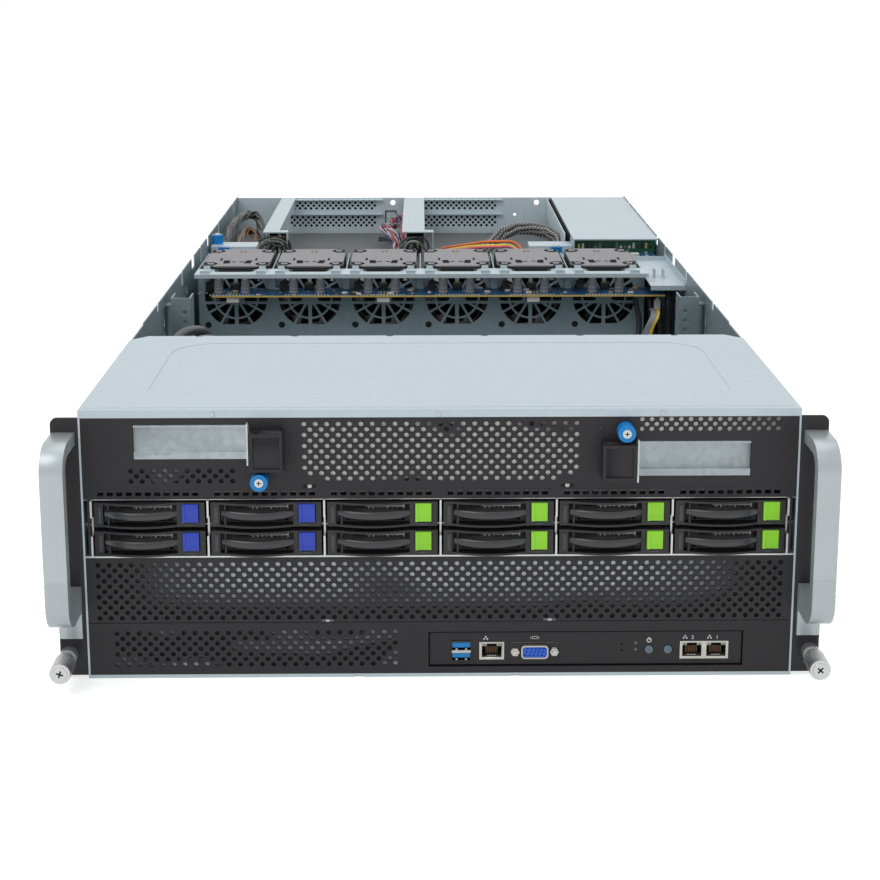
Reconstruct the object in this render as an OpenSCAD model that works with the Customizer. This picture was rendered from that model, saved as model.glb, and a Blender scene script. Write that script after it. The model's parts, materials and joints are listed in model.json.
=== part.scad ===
// Rack GPU server, four units high, with its rear top cover off for service.
// X runs across the width (+X is the right side seen from the front), +Y runs
// to the rear and +Z runs up. The origin is on the underside of the base, at
// the centre of the body's plan.

/* [Chassis] */
// Width of the body between the rack ears
body_w = 448; // [446:0.5:450]
// Height of the body with its cover on
body_h = 177; // [176.5:0.1:177.8]
// Depth from the front panels to the rear wall
body_d = 880; // [870:1:900]
// Thickness of the steel sheet
sheet = 1.2; // [1:0.1:1.3]
// Width over both rack ears
ear_span = 482.6; // [481:0.1:484]
// Depth of the front top cover
cover_d = 195; // [190:1:200]

/* [Front panels] */
// Height of the seam between the lower panel and the vent panel
lower_seam = 37.2; // [36.8:0.1:37.6]
// Height of the seam between the vent panel and the drive bays
bay_floor = 81; // [80.8:0.1:81.2]
// Height of the seam between the drive bays and the upper panel
bay_top = 126.2; // [126:0.1:126.6]
// Pitch of the round vent holes across a panel
vent_pitch = 7.05; // [6.9:0.01:7.1]
// Pitch of the rows of round vent holes
vent_rise = 3.53; // [3.45:0.01:3.56]
// Diameter of the round vent holes
vent_hole = 3.1; // [2.6:0.1:3.3]

/* [Drive trays] */
// Number of drive columns
tray_cols = 6; // [6:1:6]
// Pitch of the drive columns
tray_pitch = 72.75; // [72.5:0.05:73]
// Width of a tray
tray_w = 69; // [68.5:0.1:69.5]
// Height of a tray
tray_h = 16; // [15.6:0.1:16.2]
// Pitch of the two rows of trays
row_pitch = 18.7; // [18.6:0.1:19]
// Length of a tray behind its bezel
tray_len = 118; // [112:1:122]
// Sideways width of the latch button
latch_w = 10; // [9:0.1:10.4]

/* [Fans] */
// Number of fan modules
fan_count = 6; // [6:1:6]
// Pitch of the fan modules
fan_pitch = 67; // [66.6:0.1:67.2]
// Height of the fan axis above the base
fan_axis_z = 143; // [142:0.5:144]
// Side of the square fan frame
fan_size = 60; // [58:0.5:61]
// Diameter of the air duct through a fan
fan_bore = 57; // [54:0.5:57.5]
// Number of blades on a rotor
blade_count = 7; // [5:1:9]

/* [Power supplies] */
// Width of a power supply
psu_w = 73.5; // [72:0.5:76]
// Height of a power supply
psu_h = 39; // [38:0.5:40]
// Length of a power supply
psu_len = 265; // [240:1:270]

/* [Handles and rack screws] */
// Width of a handle bar
handle_w = 14.2; // [12:0.1:15]
// Reach of a handle in front of its ear
handle_reach = 37; // [32:0.5:42]
// Thickness of a handle bar
handle_t = 8; // [6:0.5:9]
// Distance of the rack screws from the centre
rack_screw_x = 235.5; // [235:0.1:236]
// Height of the rack screws
rack_screw_z = 16.5; // [15:0.5:18]

/* [Hidden] */
function two_digits(n) = n < 10 ? str("0", n) : str(n);

cut = 0.5;                            // how far a cutter runs past a face
half_w = body_w / 2;                  // outside of a side wall
inner_w = half_w - sheet;             // inside of a side wall
front_lip = 2.4;                      // height of the base's front edge
wall_top = body_h - sheet;            // underside of the front cover
cover_lip_z = 172;                    // lower edge of the cover's front lip

strip_z = 119.2;                      // lower edge of the strip above the trays
tray_row_z = [bay_floor + 20.2, bay_floor + 20.2 - row_pitch];
cage_d = 134;                         // depth of the drive cage
skid_h = 0.5;                         // runners under a tray
knuckle_r = 2.4;                      // hinge barrel of a tray lever
lever_pin_r = 0.9;
running_gap = 0.1;                    // radial clearance of a pin in its bore
lever_bar_h = 5.4;
lever_pivot = [-tray_w / 2 + 9, 0.6]; // plan position in the tray
latch_x = tray_w / 2 - 3.9 - latch_w; // left edge of the latch button
post_x = latch_x - 3.6;               // post between the lever and the latch
lever_span = post_x - 0.6 - lever_pivot[0];
lever_sag = 5.6;

fan_x0 = -180;                        // axis of the first fan
fan_wall_y = 474;                     // front of the wall that holds the fans
fan_y = fan_wall_y + sheet + 0.4;     // front of a fan module
fan_d = 76;                           // depth of a fan module
fan_top = 175.4;                      // top plate of a fan module
shelf_z = fan_axis_z - fan_size / 2;  // top of the shelf under the fans
bank_x = [-214, 192];                 // sides of the fan wall
board_z = 154.4;                      // top of the fan board
rotor_y = fan_y + 14;
rotor_d = 24;
hub_r = 11;
shaft_r = 2;

psu_x = 181;                          // centre of the power supplies
psu_z = [132.6, 90.2];                // undersides of the power supplies
cage_x = 139;                         // inner side of the power cage
cage_front_y = 604;
baffle_x = [-216, 136];
baffle_y = [562, 874];
baffle_z = 135;

io_window = [-7.7, 192.8, 6.8, 30.4]; // window of the port plate: x, x, z, z
button_z = 17.4;
power_x = 133;
id_x = 145;
button_r = 2.6;

// Routes of the cables inside the chassis, from the front plane
loop_route = [[-212, 652, 150], [-213, 680, 160], [-213, 720, 167], [-209, 760, 170.5],
  [-202, 790, 171], [-194, 796, 169], [-188, 780, 163], [-182, 745, 155], [-178, 722, 147],
  [-177, 700, 141]];
second_loop = [[-203, 660, 145], [-203, 690, 152], [-203, 728, 157], [-201, 760, 159],
  [-196, 768, 157], [-190, 750, 151], [-187, 726, 144], [-187, 706, 139]];
mesh_route = [[48, 665, 146], [60, 690, 154], [73, 702, 164], [88, 710, 168], [106, 710, 168],
  [122, 704, 165], [131, 690, 159], [131.5, 668, 150], [131, 650, 143]];
orange_route = [[10, 694, 142], [26, 676, 149], [42, 656, 156], [54, 644, 160], [66, 640, 160],
  [80, 646, 156]];
yellow_route = [[6, 688, 140], [22, 670, 147], [38, 650, 154], [51, 638, 157], [64, 634, 157],
  [80, 640, 153]];
grey_route = [[-210, 137, 96], [-212, 190, 108], [-212, 240, 138], [-204, 275, 156],
  [-192, 310, 154], [-186, 350, 134], [-190, 410, 100], [-200, 472, 70]];
grey_second = [[-200, 137, 96], [-201, 190, 108], [-202, 236, 134], [-195, 264, 150],
  [-183, 300, 149], [-177, 350, 126], [-180, 410, 96], [-188, 472, 62]];
riser_wires = [[-39, 700, 140], [-38, 712, 149], [-39, 730, 152], [-46, 760, 156],
  [-52, 790, 156], [-50, 815, 152], [-43, 840, 150], [-40, 860, 151], [-38, 874, 152]];

// Moves geometry measured from the front plane to the body's own frame
module from_front() {
  translate([0, -body_d / 2, 0]) children();
}

// A block given by its start and end along each axis
module block(x, y, z) {
  translate([x[0], y[0], z[0]]) cube([x[1] - x[0], y[1] - y[0], z[1] - z[0]]);
}

// A flat plate that stands across the body: children are drawn as x and z
module upright_plate(y, t) {
  translate([0, y + t, 0]) rotate([90, 0, 0]) linear_extrude(t) children();
}

// A flat profile in the y and z plane, drawn along X
module side_profile(x, w) {
  translate([x, 0, 0]) rotate([90, 0, 90]) linear_extrude(w) children();
}

// A rectangle given by its start and end along each axis
module window(x, z) {
  translate([x[0], z[0]]) square([x[1] - x[0], z[1] - z[0]]);
}

// A rectangle with round corners
module round_window(x, z, r) {
  window([x[0] + r, x[1] - r], z);
  window(x, [z[0] + r, z[1] - r]);
  for (cx = [x[0] + r, x[1] - r], cz = [z[0] + r, z[1] - r])
    translate([cx, cz]) circle(r, $fn = 40);
}

// Round vent holes in staggered rows, from the top left hole downwards
module vent_holes(x, z, cols, rows, pitch = vent_pitch, rise = vent_rise) {
  for (row = [0:rows - 1], col = [0:cols - 1 - row % 2])
    translate([x + (col + (row % 2) / 2) * pitch, z - row * rise])
      circle(d = vent_hole, $fn = 16);
}

// A rod along Y
module rod(x, y, z, r, len, n = 32) {
  translate([x, y, z]) rotate([-90, 0, 0]) cylinder(r = r, h = len, $fn = n);
}

// A tube along Y
module tube(x, y, z, r, bore, len) {
  difference() {
    rod(x, y, z, r, len);
    rod(x, y - cut, z, bore, len + 2 * cut);
  }
}

// A round cable swept along a route, as one closed skin
function unit(v) = v / norm(v);
function route_dir(p, i) = unit(p[min(i + 1, len(p) - 1)] - p[max(i - 1, 0)]);
function ring_side(d) = unit(cross(d, abs(d[2]) > 0.9 ? [1, 0, 0] : [0, 0, 1]));
function cable_ring(p, i, r, n) =
  let (d = route_dir(p, i), s = ring_side(d), u = cross(s, d))
  [for (k = [0:n - 1]) p[i] + r * (cos(360 * k / n) * s + sin(360 * k / n) * u)];

module cable(route, r, n = 10) {
  last = len(route) - 1;
  points = [for (i = [0:last]) each cable_ring(route, i, r, n)];
  sides = [for (i = [0:last - 1], k = [0:n - 1])
    [i * n + k, i * n + (k + 1) % n, (i + 1) * n + (k + 1) % n, (i + 1) * n + k]];
  start_cap = [[for (k = [n - 1:-1:0]) k]];
  end_cap = [[for (k = [0:n - 1]) last * n + k]];
  polyhedron(points, concat(sides, start_cap, end_cap), convexity = 6);
}

// Folded base: floor, front edge and both side walls with their stepped tops
module chassis_pan() {
  color("slategray") from_front() difference() {
    union() {
      block([-half_w, half_w], [0, body_d], [0, sheet]);
      block([-inner_w, inner_w], [0, sheet], [sheet, front_lip]);
      for (side = [-1, 1]) {
        side_profile(side > 0 ? inner_w : -half_w, sheet) wall_outline();
        mirror([side < 0 ? 1 : 0, 0, 0]) wall_post();
      }
    }
    for (side = [-1, 1], y = rail_holes)
      translate([side * half_w, y, rail_hole_z]) rotate([0, 90, 0])
        cylinder(d = rail_hole_d, h = 4 * sheet, center = true, $fn = 24);
    for (x = [-52, 48])
      block([x - 3, x + 3], [-cut, sheet + cut], [-cut, front_lip - sheet]);
  }
}

// U-shaped post that stands on the floor beside a wall, with a row of holes
module wall_post() {
  x = [201, 217];
  difference() {
    union() {
      block(x, [332, 333.2], [0, wall_top]);
      for (edge = [x[0], x[1] - sheet])
        block([edge, edge + sheet], [333.2, 352], [0, wall_top]);
      block([x[1], inner_w], [340, 352], [wall_top - sheet - 8, wall_top - 8]);
    }
    for (z = [116:8:164])
      rod(x[0] + 5, 330, z, 1.8, 5, 20);
  }
}

rail_holes = [60, 260, 560, 800];     // screws of the slide rails, along a side
rail_hole_z = 60;
rail_hole_d = 4.3;
wall_rise_y = 238;                    // the walls stand taller behind the cover

module wall_outline() {
  difference() {
    union() {
      window([0, body_d], [sheet, wall_top]);
      window([wall_rise_y, body_d], [wall_top - cut, body_h]);
    }
    for (notch = [[300, 8, 6], [432, 8, 12], [497, 20, 10], [556, 8, 14], [606, 14, 9],
                  [691, 9, 12], [760, 8, 6], [830, 10, 12]])
      translate([notch[0], body_h - notch[2]]) square([notch[1], notch[2] + cut]);
    for (y = [262, 330, 460, 640, 720], z = [140, 152])
      round_window([y, y + 3.4], [z, z + 7], 1.6);
  }
}

// Rear wall with the card blanks' vents, the cable window and the supply bays
module rear_panel() {
  wall_y = body_d - sheet;
  color("slategray") from_front() {
    upright_plate(wall_y, sheet) difference() {
      window([-inner_w, inner_w], [sheet, wall_top]);
      for (z = psu_z)
        window([psu_x - psu_w / 2 - 0.6, psu_x + psu_w / 2 + 0.6], [z - 0.6, z + psu_h + 0.6]);
      window([-52, -41], [142, 160]);
      vent_holes(-161, 173, 16, 4, 6.4, 3.2);
      vent_holes(-161, 153, 16, 4, 6.4, 3.2);
      vent_holes(-9, 173, 14, 4, 6.4, 3.2);
      vent_holes(-9, 153, 14, 4, 6.4, 3.2);
      for (x = [-44, 122])
        translate([x, 170]) circle(d = 6, $fn = 24);
      translate([97, 156]) circle(d = 3.4, $fn = 24);
      for (x = [-200, -188, -176])
        round_window([x, x + 8], [20, 30], 1);
    }
    for (z = [157.4, 176 - 1.8], x = [[-167, -56], [-16, 82]])
      block(x, [wall_y - 6, wall_y], [z - 0.8, z]);
  }
}

// Front top cover with a folded lip, a pressed border and keyhole tabs
module front_cover() {
  corner = 12;
  color("lightsteelblue") from_front() {
    difference() {
      translate([0, 0, wall_top]) linear_extrude(sheet)
        polygon([[-half_w, 0], [half_w, 0], [half_w, cover_d - corner],
          [half_w - corner, cover_d], [-half_w + corner, cover_d], [-half_w, cover_d - corner]]);
      translate([0, 0, body_h - 0.3]) linear_extrude(1) cover_border();
      for (n = [-2.5:2.5])
        block([n * 70 - 2.4, n * 70 + 2.4], [cover_d - 2.2, cover_d + cut],
          [wall_top - cut, body_h + cut]);
    }
    difference() {
      block([-inner_w, inner_w], [0, sheet], [cover_lip_z, wall_top]);
      for (x = cover_screws)
        rod(x, -cut, 174, 1.4, 3, 20);
    }
    for (x = cover_screws)
      rod(x, -0.4, 174, 1.4, 1.6, 20);
  }
}

cover_screws = [-141, -1.5, 138];

// Pressed border line: a wide U that opens to the front edge
module cover_border() {
  difference() {
    round_window([-188, 188], [20, 172], 30);
    round_window([-186.8, 186.8], [21.2, 170.8], 28.8);
    window([-200, 200], [10, 46]);
  }
  window([-half_w + 3, half_w - 3], [5, 5.6]);
}

// Upper front panel: two card windows, a wide vent and small vents beside them
module upper_front_panel() {
  color("#2d2b2f") from_front() upright_plate(0, sheet) difference() {
    window([-inner_w, inner_w], [bay_top, cover_lip_z]);
    window(left_slot_x, left_slot_z);
    window(right_slot_x, right_slot_z);
    vent_holes(-192.4, 137.8, 10, 3, 7, 3.3);
    vent_holes(125, 170, 15, 3, 6.07, 3.15);
    difference() {
      vent_holes(-84.6, 167.6, 25, 11);
      for (x = [-84.6, 84.6])
        window([x - 10, x + 10], [130, 134]);
    }
    for (x = seam_screws)
      window([x - 4, x + 4], [bay_top - cut, bay_top + 2.4]);
    for (p = slot_screws)
      translate(p) circle(r = slot_screw_r + 0.3, $fn = 24);
  }
}

seam_screws = [-81.6, 79.2];
left_slot_x = [-190.4, -118.6];
left_slot_z = [145.3, 167.8];
right_slot_x = [121.8, 193.4];
right_slot_z = [133.4, 156.4];
slot_screws = [[-112.3, 132.6], [114.7, 163.3]];
slot_screw_r = 2;

// The two card slot covers with their clamp blocks and captive screws
module slot_covers() {
  from_front() {
    color("lightgray") slot_cover(left_slot_x, left_slot_z, 1);
    color("lightgray") slot_cover(right_slot_x, right_slot_z, -1);
    color("#2a282c") clamp_block([-117.6, -97.2], [140.2, 164.4]);
    color("#2a282c") clamp_block([99.9, 120.8], [133.6, 156.6]);
    for (p = slot_screws)
      color("deepskyblue") captive_screw(p);
  }
}

// A folded cover that stands in its window; lip is the side of its bent end
module slot_cover(x, z, lip) {
  gap = 0.4;
  face = [x[0] + gap, x[1] - gap];
  block(face, [0.4, sheet], [z[0] + gap, z[1] - gap]);
  block([x[0] - 2, x[1] + 2], [sheet, 2 * sheet], [z[0] - 2, z[1] + 2]);
  block(face, [-0.6, 0.4], [z[0] + gap, z[0] + gap + 4.4]);
  block(face, [-0.6, 0.4], [z[1] - gap - 1.4, z[1] - gap]);
  end = lip > 0 ? x[1] - gap - 1 : x[0] + gap;
  block([end, end + 1], [-4, 0], [z[0] - 3, z[1] + 1.5]);
  block([end, end + 1], [0, 0.4], [z[0] + gap, z[1] - gap]);
}

module clamp_block(x, z) {
  difference() {
    block(x, [-11, 0], z);
    block([x[0] + 2, x[1] - 2], [-11 - cut, -10], [z[0] + 2, z[1] - 2]);
    block([x[0] + 3, x[0] + 6], [-9, -6], [z[1] - 2, z[1] + cut]);
  }
  block([x[0] + 8, x[1] - 2], [-5, 0], [z[1], z[1] + 0.8]);
}

// Knurled captive screw that stands on the panel
module captive_screw(p) {
  knurled_knob(p[0], -9, p[1], 5.5, 9, 24);
  rod(p[0], 0, p[1], slot_screw_r, 6);
}

// A knob along Y with grooves round it and a cross recess in its front
module knurled_knob(x, y, z, r, len, grooves) {
  translate([x, y + len, z]) rotate([90, 0, 0]) difference() {
    linear_extrude(len) difference() {
      circle(r, $fn = 48);
      for (k = [0:grooves - 1])
        rotate(k * 360 / grooves) translate([r, 0]) circle(r * 0.06, $fn = 4);
    }
    for (turn = [0, 90])
      rotate(turn) translate([-r * 0.4, -r * 0.07, len - r * 0.3])
        cube([r * 0.8, r * 0.14, r]);
  }
}

// Drive cage: floor, shelf, roof and dividers, with the vented strip above
module drive_cage() {
  roof_z = strip_z;
  shelf = tray_row_z[0] - skid_h - 1;
  color("silver") from_front() {
    block([-inner_w, inner_w], [0, cage_d], [bay_floor, bay_floor + 1]);
    block([-inner_w, inner_w], [8, cage_d], [shelf, shelf + 1]);
    block([-inner_w, inner_w], [2, cage_d], [roof_z - 1, roof_z]);
    for (n = [-3:3])
      side_profile(n * tray_pitch - 0.6, 1.2) difference() {
        window([0, cage_d], [bay_floor + 1, roof_z - 1]);
        window([8, cage_d + cut], [shelf, shelf + 1]);
        window([-cut, 4], [bay_floor + 14, bay_floor + 26]);
      }
    difference() {
      block([-inner_w, inner_w], [cage_d, cage_d + 1.6], [bay_floor, bay_top]);
      for (n = [-2.5:2.5], z = [bay_floor + 6, bay_floor + 27])
        block([n * tray_pitch - 20, n * tray_pitch + 20], [cage_d - cut, cage_d + 3], [z, z + 7]);
    }
    upright_plate(0.4, 1) strip_outline();
    block([-inner_w, inner_w], [1.4, 12], [bay_top - 1, bay_top]);
    block([-inner_w, inner_w], [1.4, 2], [strip_z, strip_z + 0.8]);
  }
}

module strip_outline() {
  difference() {
    window([-inner_w, inner_w], [strip_z, bay_top]);
    for (column = [-2.5:2.5], n = [0:10])
      window([column * tray_pitch - 32 + n * 5.9, column * tray_pitch - 28.2 + n * 5.9],
        [strip_z + 2.2, strip_z + 4.9]);
  }
}

// Perforated panel between the drive bays and the lower panel
module vent_panel() {
  color("#2d2b2f") from_front() upright_plate(0, sheet) difference() {
    window([-inner_w, inner_w], [lower_seam + 0.4, bay_floor]);
    vent_holes(-215.3, 76.1, 62, 11);
    for (x = [-71.5, 69.3])
      window([x - 4, x + 4], [lower_seam - cut, lower_seam + 2]);
  }
}

// Lower panel with its vent and the recessed plate round the ports
module lower_front_panel() {
  color("#2d2b2f") from_front() {
    upright_plate(0, sheet) difference() {
      window([-inner_w, inner_w], [front_lip, lower_seam]);
      window([io_window[0], io_window[1]], [io_window[2], io_window[3]]);
      vent_holes(-205, 30.4, 26, 7, 7.05, 3.53);
    }
    upright_plate(sheet, sheet) difference() {
      window([io_window[0] - 3, io_window[1] + 3], [io_window[2] - 3, io_window[3] + 3]);
      port_windows(0.15);
      for (x = [power_x, id_x])
        translate([x, button_z]) circle(button_r + 0.3, $fn = 32);
    }
  }
}

usb_x = [6.8, 19.6];
usb_z = [9.6, 24];
lan_x = [[24.7, 40.5], [152.7, 168.1], [168.1, 183.6]];
lan_z = [11.2, 23];
vga_x = 60;
vga_z = 16.6;

module port_windows(gap) {
  window([usb_x[0] - gap, usb_x[1] + gap], [usb_z[0] - gap, usb_z[1] + gap]);
  window([lan_x[0][0] - gap, lan_x[0][1] + gap], [lan_z[0] - gap, lan_z[1] + gap]);
  window([lan_x[1][0] - gap, lan_x[2][1] + gap], [lan_z[0] - gap, lan_z[1] + gap]);
  window([vga_x - 9.6 - gap, vga_x + 9.6 + gap], [vga_z - 5.2 - gap, vga_z + 5.2 + gap]);
  for (side = [-1, 1])
    translate([vga_x + side * 12.5, vga_z]) circle(r = 3 + gap, $fn = 24);
  for (z = [16.9, 20.9])
    translate([115.7, z]) circle(r = 0.8, $fn = 16);
  for (z = [17.2, 21.6])
    translate([124.5, z]) circle(r = 1 + gap, $fn = 16);
}

// Port board with the sockets and lamps that show in the lower panel
module io_ports() {
  board = [5.6, 7.2];
  back = 2.4;
  from_front() {
    color("darkgreen") block([0, 190], [back + 0.4, 70], board);
    color("gray") for (x = [6, 184], y = [24, 62])
      translate([x, y, sheet]) cylinder(r = 2.5, h = board[0] - sheet, $fn = 24);
    color("silver") {
      usb_stack();
      for (x = lan_x)
        lan_socket(x);
    }
    color("royalblue") vga_socket();
    color("gray") for (x = lan_x)
      block(x + [2, -2], [4, 16], [board[1], lan_z[0]]);
    color("gray") block(usb_x, [4, 16], [board[1], usb_z[0]]);
    color("gray") block([vga_x - 8, vga_x + 8], [4, 12], [board[1], vga_z - 5]);
    color("limegreen") for (z = [17.2, 21.6])
      rod(124.5, 1.4, z, 1, 6, 16);
    color("gray") block([123.5, 125.5], [4, 8], [board[1], 17]);
    color("gray") for (x = [power_x, id_x])
      block([x - 4, x + 4], [9, 16], [board[1], 21]);
  }
}

module usb_stack() {
  difference() {
    block(usb_x, [0.6, 18], usb_z);
    for (z = [usb_z[0] + 1, usb_z[0] + 7.8])
      block([usb_x[0] + 0.5, usb_x[1] - 0.5], [0, 14], [z, z + 5.4]);
  }
  for (z = [usb_z[0] + 4, usb_z[0] + 10.8])
    block([usb_x[0] + 1.2, usb_x[1] - 1.2], [2, 14], [z, z + 1.2]);
}

module lan_socket(x) {
  difference() {
    block(x, [0.6, 16], lan_z);
    block([x[0] + 1.6, x[1] - 1.6], [0, 13], [lan_z[0] + 1.6, lan_z[1] - 1]);
  }
}

module vga_socket() {
  upright_plate(0.6, 0.6) round_window([vga_x - 15.4, vga_x + 15.4], [vga_z - 6, vga_z + 6], 2);
  difference() {
    upright_plate(-1.2, 6)
      round_window([vga_x - 8.6, vga_x + 8.6], [vga_z - 4.4, vga_z + 4.4], 2.4);
    upright_plate(-2, 1.6)
      round_window([vga_x - 7.8, vga_x + 7.8], [vga_z - 3.6, vga_z + 3.6], 1.8);
    for (row = [-1:1], col = [-2:2])
      rod(vga_x + col * 2.6 + row * 0.6, -2, vga_z + row * 2.2, 0.55, 5, 16);
  }
  upright_plate(4.8, 3) round_window([vga_x - 14, vga_x + 14], [vga_z - 5, vga_z + 5], 1);
  for (side = [-1, 1])
    difference() {
      rod(vga_x + side * 12.5, -1, vga_z, 2.8, 5.8, 6);
      rod(vga_x + side * 12.5, -2, vga_z, 1.3, 5, 16);
    }
}

// Both ears: plate, side flange and rack slots
module rack_ears() {
  flange_t = sheet;
  color("#232226") from_front() for (side = [-1, 1]) mirror([side < 0 ? 1 : 0, 0, 0]) {
    upright_plate(0, 2.4) difference() {
      ear_outline(half_w, ear_span / 2);
      translate([rack_screw_x, rack_screw_z]) circle(r = 3.6, $fn = 32);
    }
    difference() {
      block([half_w, half_w + flange_t], [2.4, 48], [8, 168]);
      for (z = [20, 50, 126, 156])
        translate([half_w, 34, z]) rotate([0, 90, 0])
          cylinder(r = 1.7, h = 3, center = true, $fn = 20);
    }
  }
}

module ear_outline(x0, x1) {
  r = 4;
  window([x0, x1], [front_lip, 172 - r]);
  window([x0, x1 - r], [172 - r - cut, 172]);
  translate([x1 - r, 172 - r]) circle(r, $fn = 32);
}

// Both lifting handles, bent from wide flat bar, with a foot on the ear
module handles() {
  x0 = ear_span / 2 - 0.8 - handle_w;
  color("lightgray") from_front() for (side = [-1, 1]) mirror([side < 0 ? 1 : 0, 0, 0]) {
    difference() {
      side_profile(x0, handle_w) handle_profile();
      for (n = [0:7])
        block([x0 + handle_w - 0.35, x0 + handle_w + cut],
          [-handle_reach - cut, -handle_reach + 26], [50 + n * 4, 50.8 + n * 4]);
    }
  }
}

handle_z = [45, 163];
grip_r = 17;

module handle_profile() {
  reach = handle_reach;
  difference() {
    union() {
      window([-reach + grip_r, 0], handle_z);
      window([-reach, -cut], [handle_z[0] + grip_r, handle_z[1] - grip_r]);
      for (z = [handle_z[0] + grip_r, handle_z[1] - grip_r])
        translate([-reach + grip_r, z]) circle(grip_r, $fn = 96);
      window([-2.4, 0], [28, handle_z[0] + cut]);
    }
    grip_gap();
  }
}

// The finger gap: round at the grip, flared towards the foot of the handle
module grip_gap() {
  r = grip_r - handle_t;
  y0 = -handle_reach + handle_t;
  z0 = handle_z[0] + handle_t;
  z1 = handle_z[1] - handle_t;
  window([y0 + r, cut], [z0 + 9, z1]);
  window([y0, 0], [z0 + 9 + r, z1 - r]);
  for (z = [z0 + 9 + r, z1 - r])
    translate([y0 + r, z]) circle(r, $fn = 64);
}

// Captive rack screw: knob, neck and a shank through the ear
module rack_screw(side) {
  color("silver") from_front() {
    knurled_knob(side * rack_screw_x, -29, rack_screw_z, 6.6, 17, 30);
    rod(side * rack_screw_x, -12, rack_screw_z, 4.6, 6);
    rod(side * rack_screw_x, -6, rack_screw_z, 5.6, 6);
    rod(side * rack_screw_x, 0, rack_screw_z, 3.1, 11);
  }
}

module left_thumbscrew() { rack_screw(-1); }
module right_thumbscrew() { rack_screw(1); }

// Round push button with a plunger that reaches its switch
module push_button(x) {
  color("slategray") from_front() {
    rod(x, 0.2, button_z, button_r, 2 * sheet - 0.2);
    rod(x, 2 * sheet, button_z, button_r + 0.8, 1.2);
    rod(x, 2 * sheet + 1.2, button_z, 1.2, 4.2);
  }
}

module power_button() { push_button(power_x); }
module id_button() { push_button(id_x); }

// Drive carrier: bezel with a vented recess, rails, drive and latch button
module drive_tray(n) {
  row = (n - 1) % 2;
  column = floor((n - 1) / 2);
  from_front()
    translate([(column - (tray_cols - 1) / 2) * tray_pitch, 0, tray_row_z[row]]) {
      color("#29282b") tray_bezel();
      color("#39383b") {
        block([-tray_w / 2, -tray_w / 2 + 1.4], [8, tray_len], [2, tray_h - 2]);
        block([tray_w / 2 - 1.4, tray_w / 2], [8, tray_len], [2, tray_h - 2]);
        block([-tray_w / 2 + 1.4, tray_w / 2 - 1.4], [8, tray_len], [2, 3]);
        for (side = [-1, 1])
          block([side * 30 - 1.5, side * 30 + 1.5], [9, tray_len - 4], [-skid_h, 2]);
      }
      color("gray") block([-tray_w / 2 + 1.4, tray_w / 2 - 1.4], [14, tray_len - 2], [3, 13]);
      color(column < 2 ? "mediumblue" : "yellowgreen") latch_button();
    }
}

module latch_button() {
  block([latch_x, latch_x + latch_w], [-1.4, 5], [3.4, tray_h - 1]);
  block([latch_x, latch_x + 1.6], [-2, -1.4], [3.4, tray_h - 1]);
}

module tray_bezel() {
  left = -tray_w / 2;
  difference() {
    block([left, tray_w / 2], [5, 8], [0, tray_h]);
    for (n = [0:2])
      block([left + 16 + n * 9.4, left + 24.2 + n * 9.4], [5 - cut, 8 + cut], [11, 13.8]);
    for (n = [0:3])
      block([left + 12 + n * 9.4, left + 20 + n * 9.4], [5 - cut, 8 + cut], [2.2, 4.6]);
  }
  block([left, left + 5.6], [0, 5], [0, tray_h]);
  block([post_x, latch_x - 0.4], [0, 5], [1.4, tray_h - 1.4]);
  block([latch_x + latch_w + 0.4, tray_w / 2], [0, 5], [1.4, tray_h - 1.4]);
  difference() {
    block([latch_x - 0.4, latch_x + latch_w + 0.4], [0, 5], [0, 3]);
    block([latch_x + 2, latch_x + 6], [-cut, 1], [1, 2.2]);
  }
  for (z = [0, tray_h - 1.4]) {
    translate([0, 0, z]) linear_extrude(1.4) rim_outline(left + 5.6, post_x);
    block([post_x, tray_w / 2], [0, 5], z > 0 ? [z, tray_h] : [0, 1.4]);
  }
  translate([lever_pivot[0], lever_pivot[1], 1.4])
    cylinder(r = lever_pin_r, h = tray_h - 2.8, $fn = 24);
}

// Rim above and below the lever, bowed forward in plan
module rim_outline(x0, x1) {
  span = x1 - x0 - 0.8;
  sag = 3.8;
  r = (span * span / 4 + sag * sag) / (2 * sag);
  window([x0, x1], [0, 5]);
  intersection() {
    translate([(x0 + x1) / 2, r - sag]) circle(r, $fn = 180);
    window([x0, x1], [-sag - 1, 0.1]);
  }
}

// Tray lever: a bowed bar on a hinge barrel
module tray_lever(n) {
  row = (n - 1) % 2;
  column = floor((n - 1) / 2);
  r = (lever_span * lever_span / 4 + lever_sag * lever_sag) / (2 * lever_sag);
  bar_z = tray_h / 2 - lever_bar_h / 2;
  color("#39393d") from_front()
    translate([(column - (tray_cols - 1) / 2) * tray_pitch + lever_pivot[0], lever_pivot[1],
        tray_row_z[row]]) {
      difference() {
        union() {
          translate([0, 0, bar_z - 1.4]) cylinder(r = knuckle_r, h = lever_bar_h + 2.8, $fn = 32);
          translate([0, 0, bar_z]) linear_extrude(lever_bar_h) intersection() {
            difference() {
              translate([lever_span / 2, r - lever_sag - 1.2]) circle(r, $fn = 240);
              translate([lever_span / 2, r - lever_sag + 1.6]) circle(r, $fn = 240);
            }
            window([0, lever_span], [-lever_sag - 3, 3]);
          }
        }
        translate([0, 0, -1]) cylinder(r = lever_pin_r + running_gap, h = tray_h + 2, $fn = 24);
      }
    }
}

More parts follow.
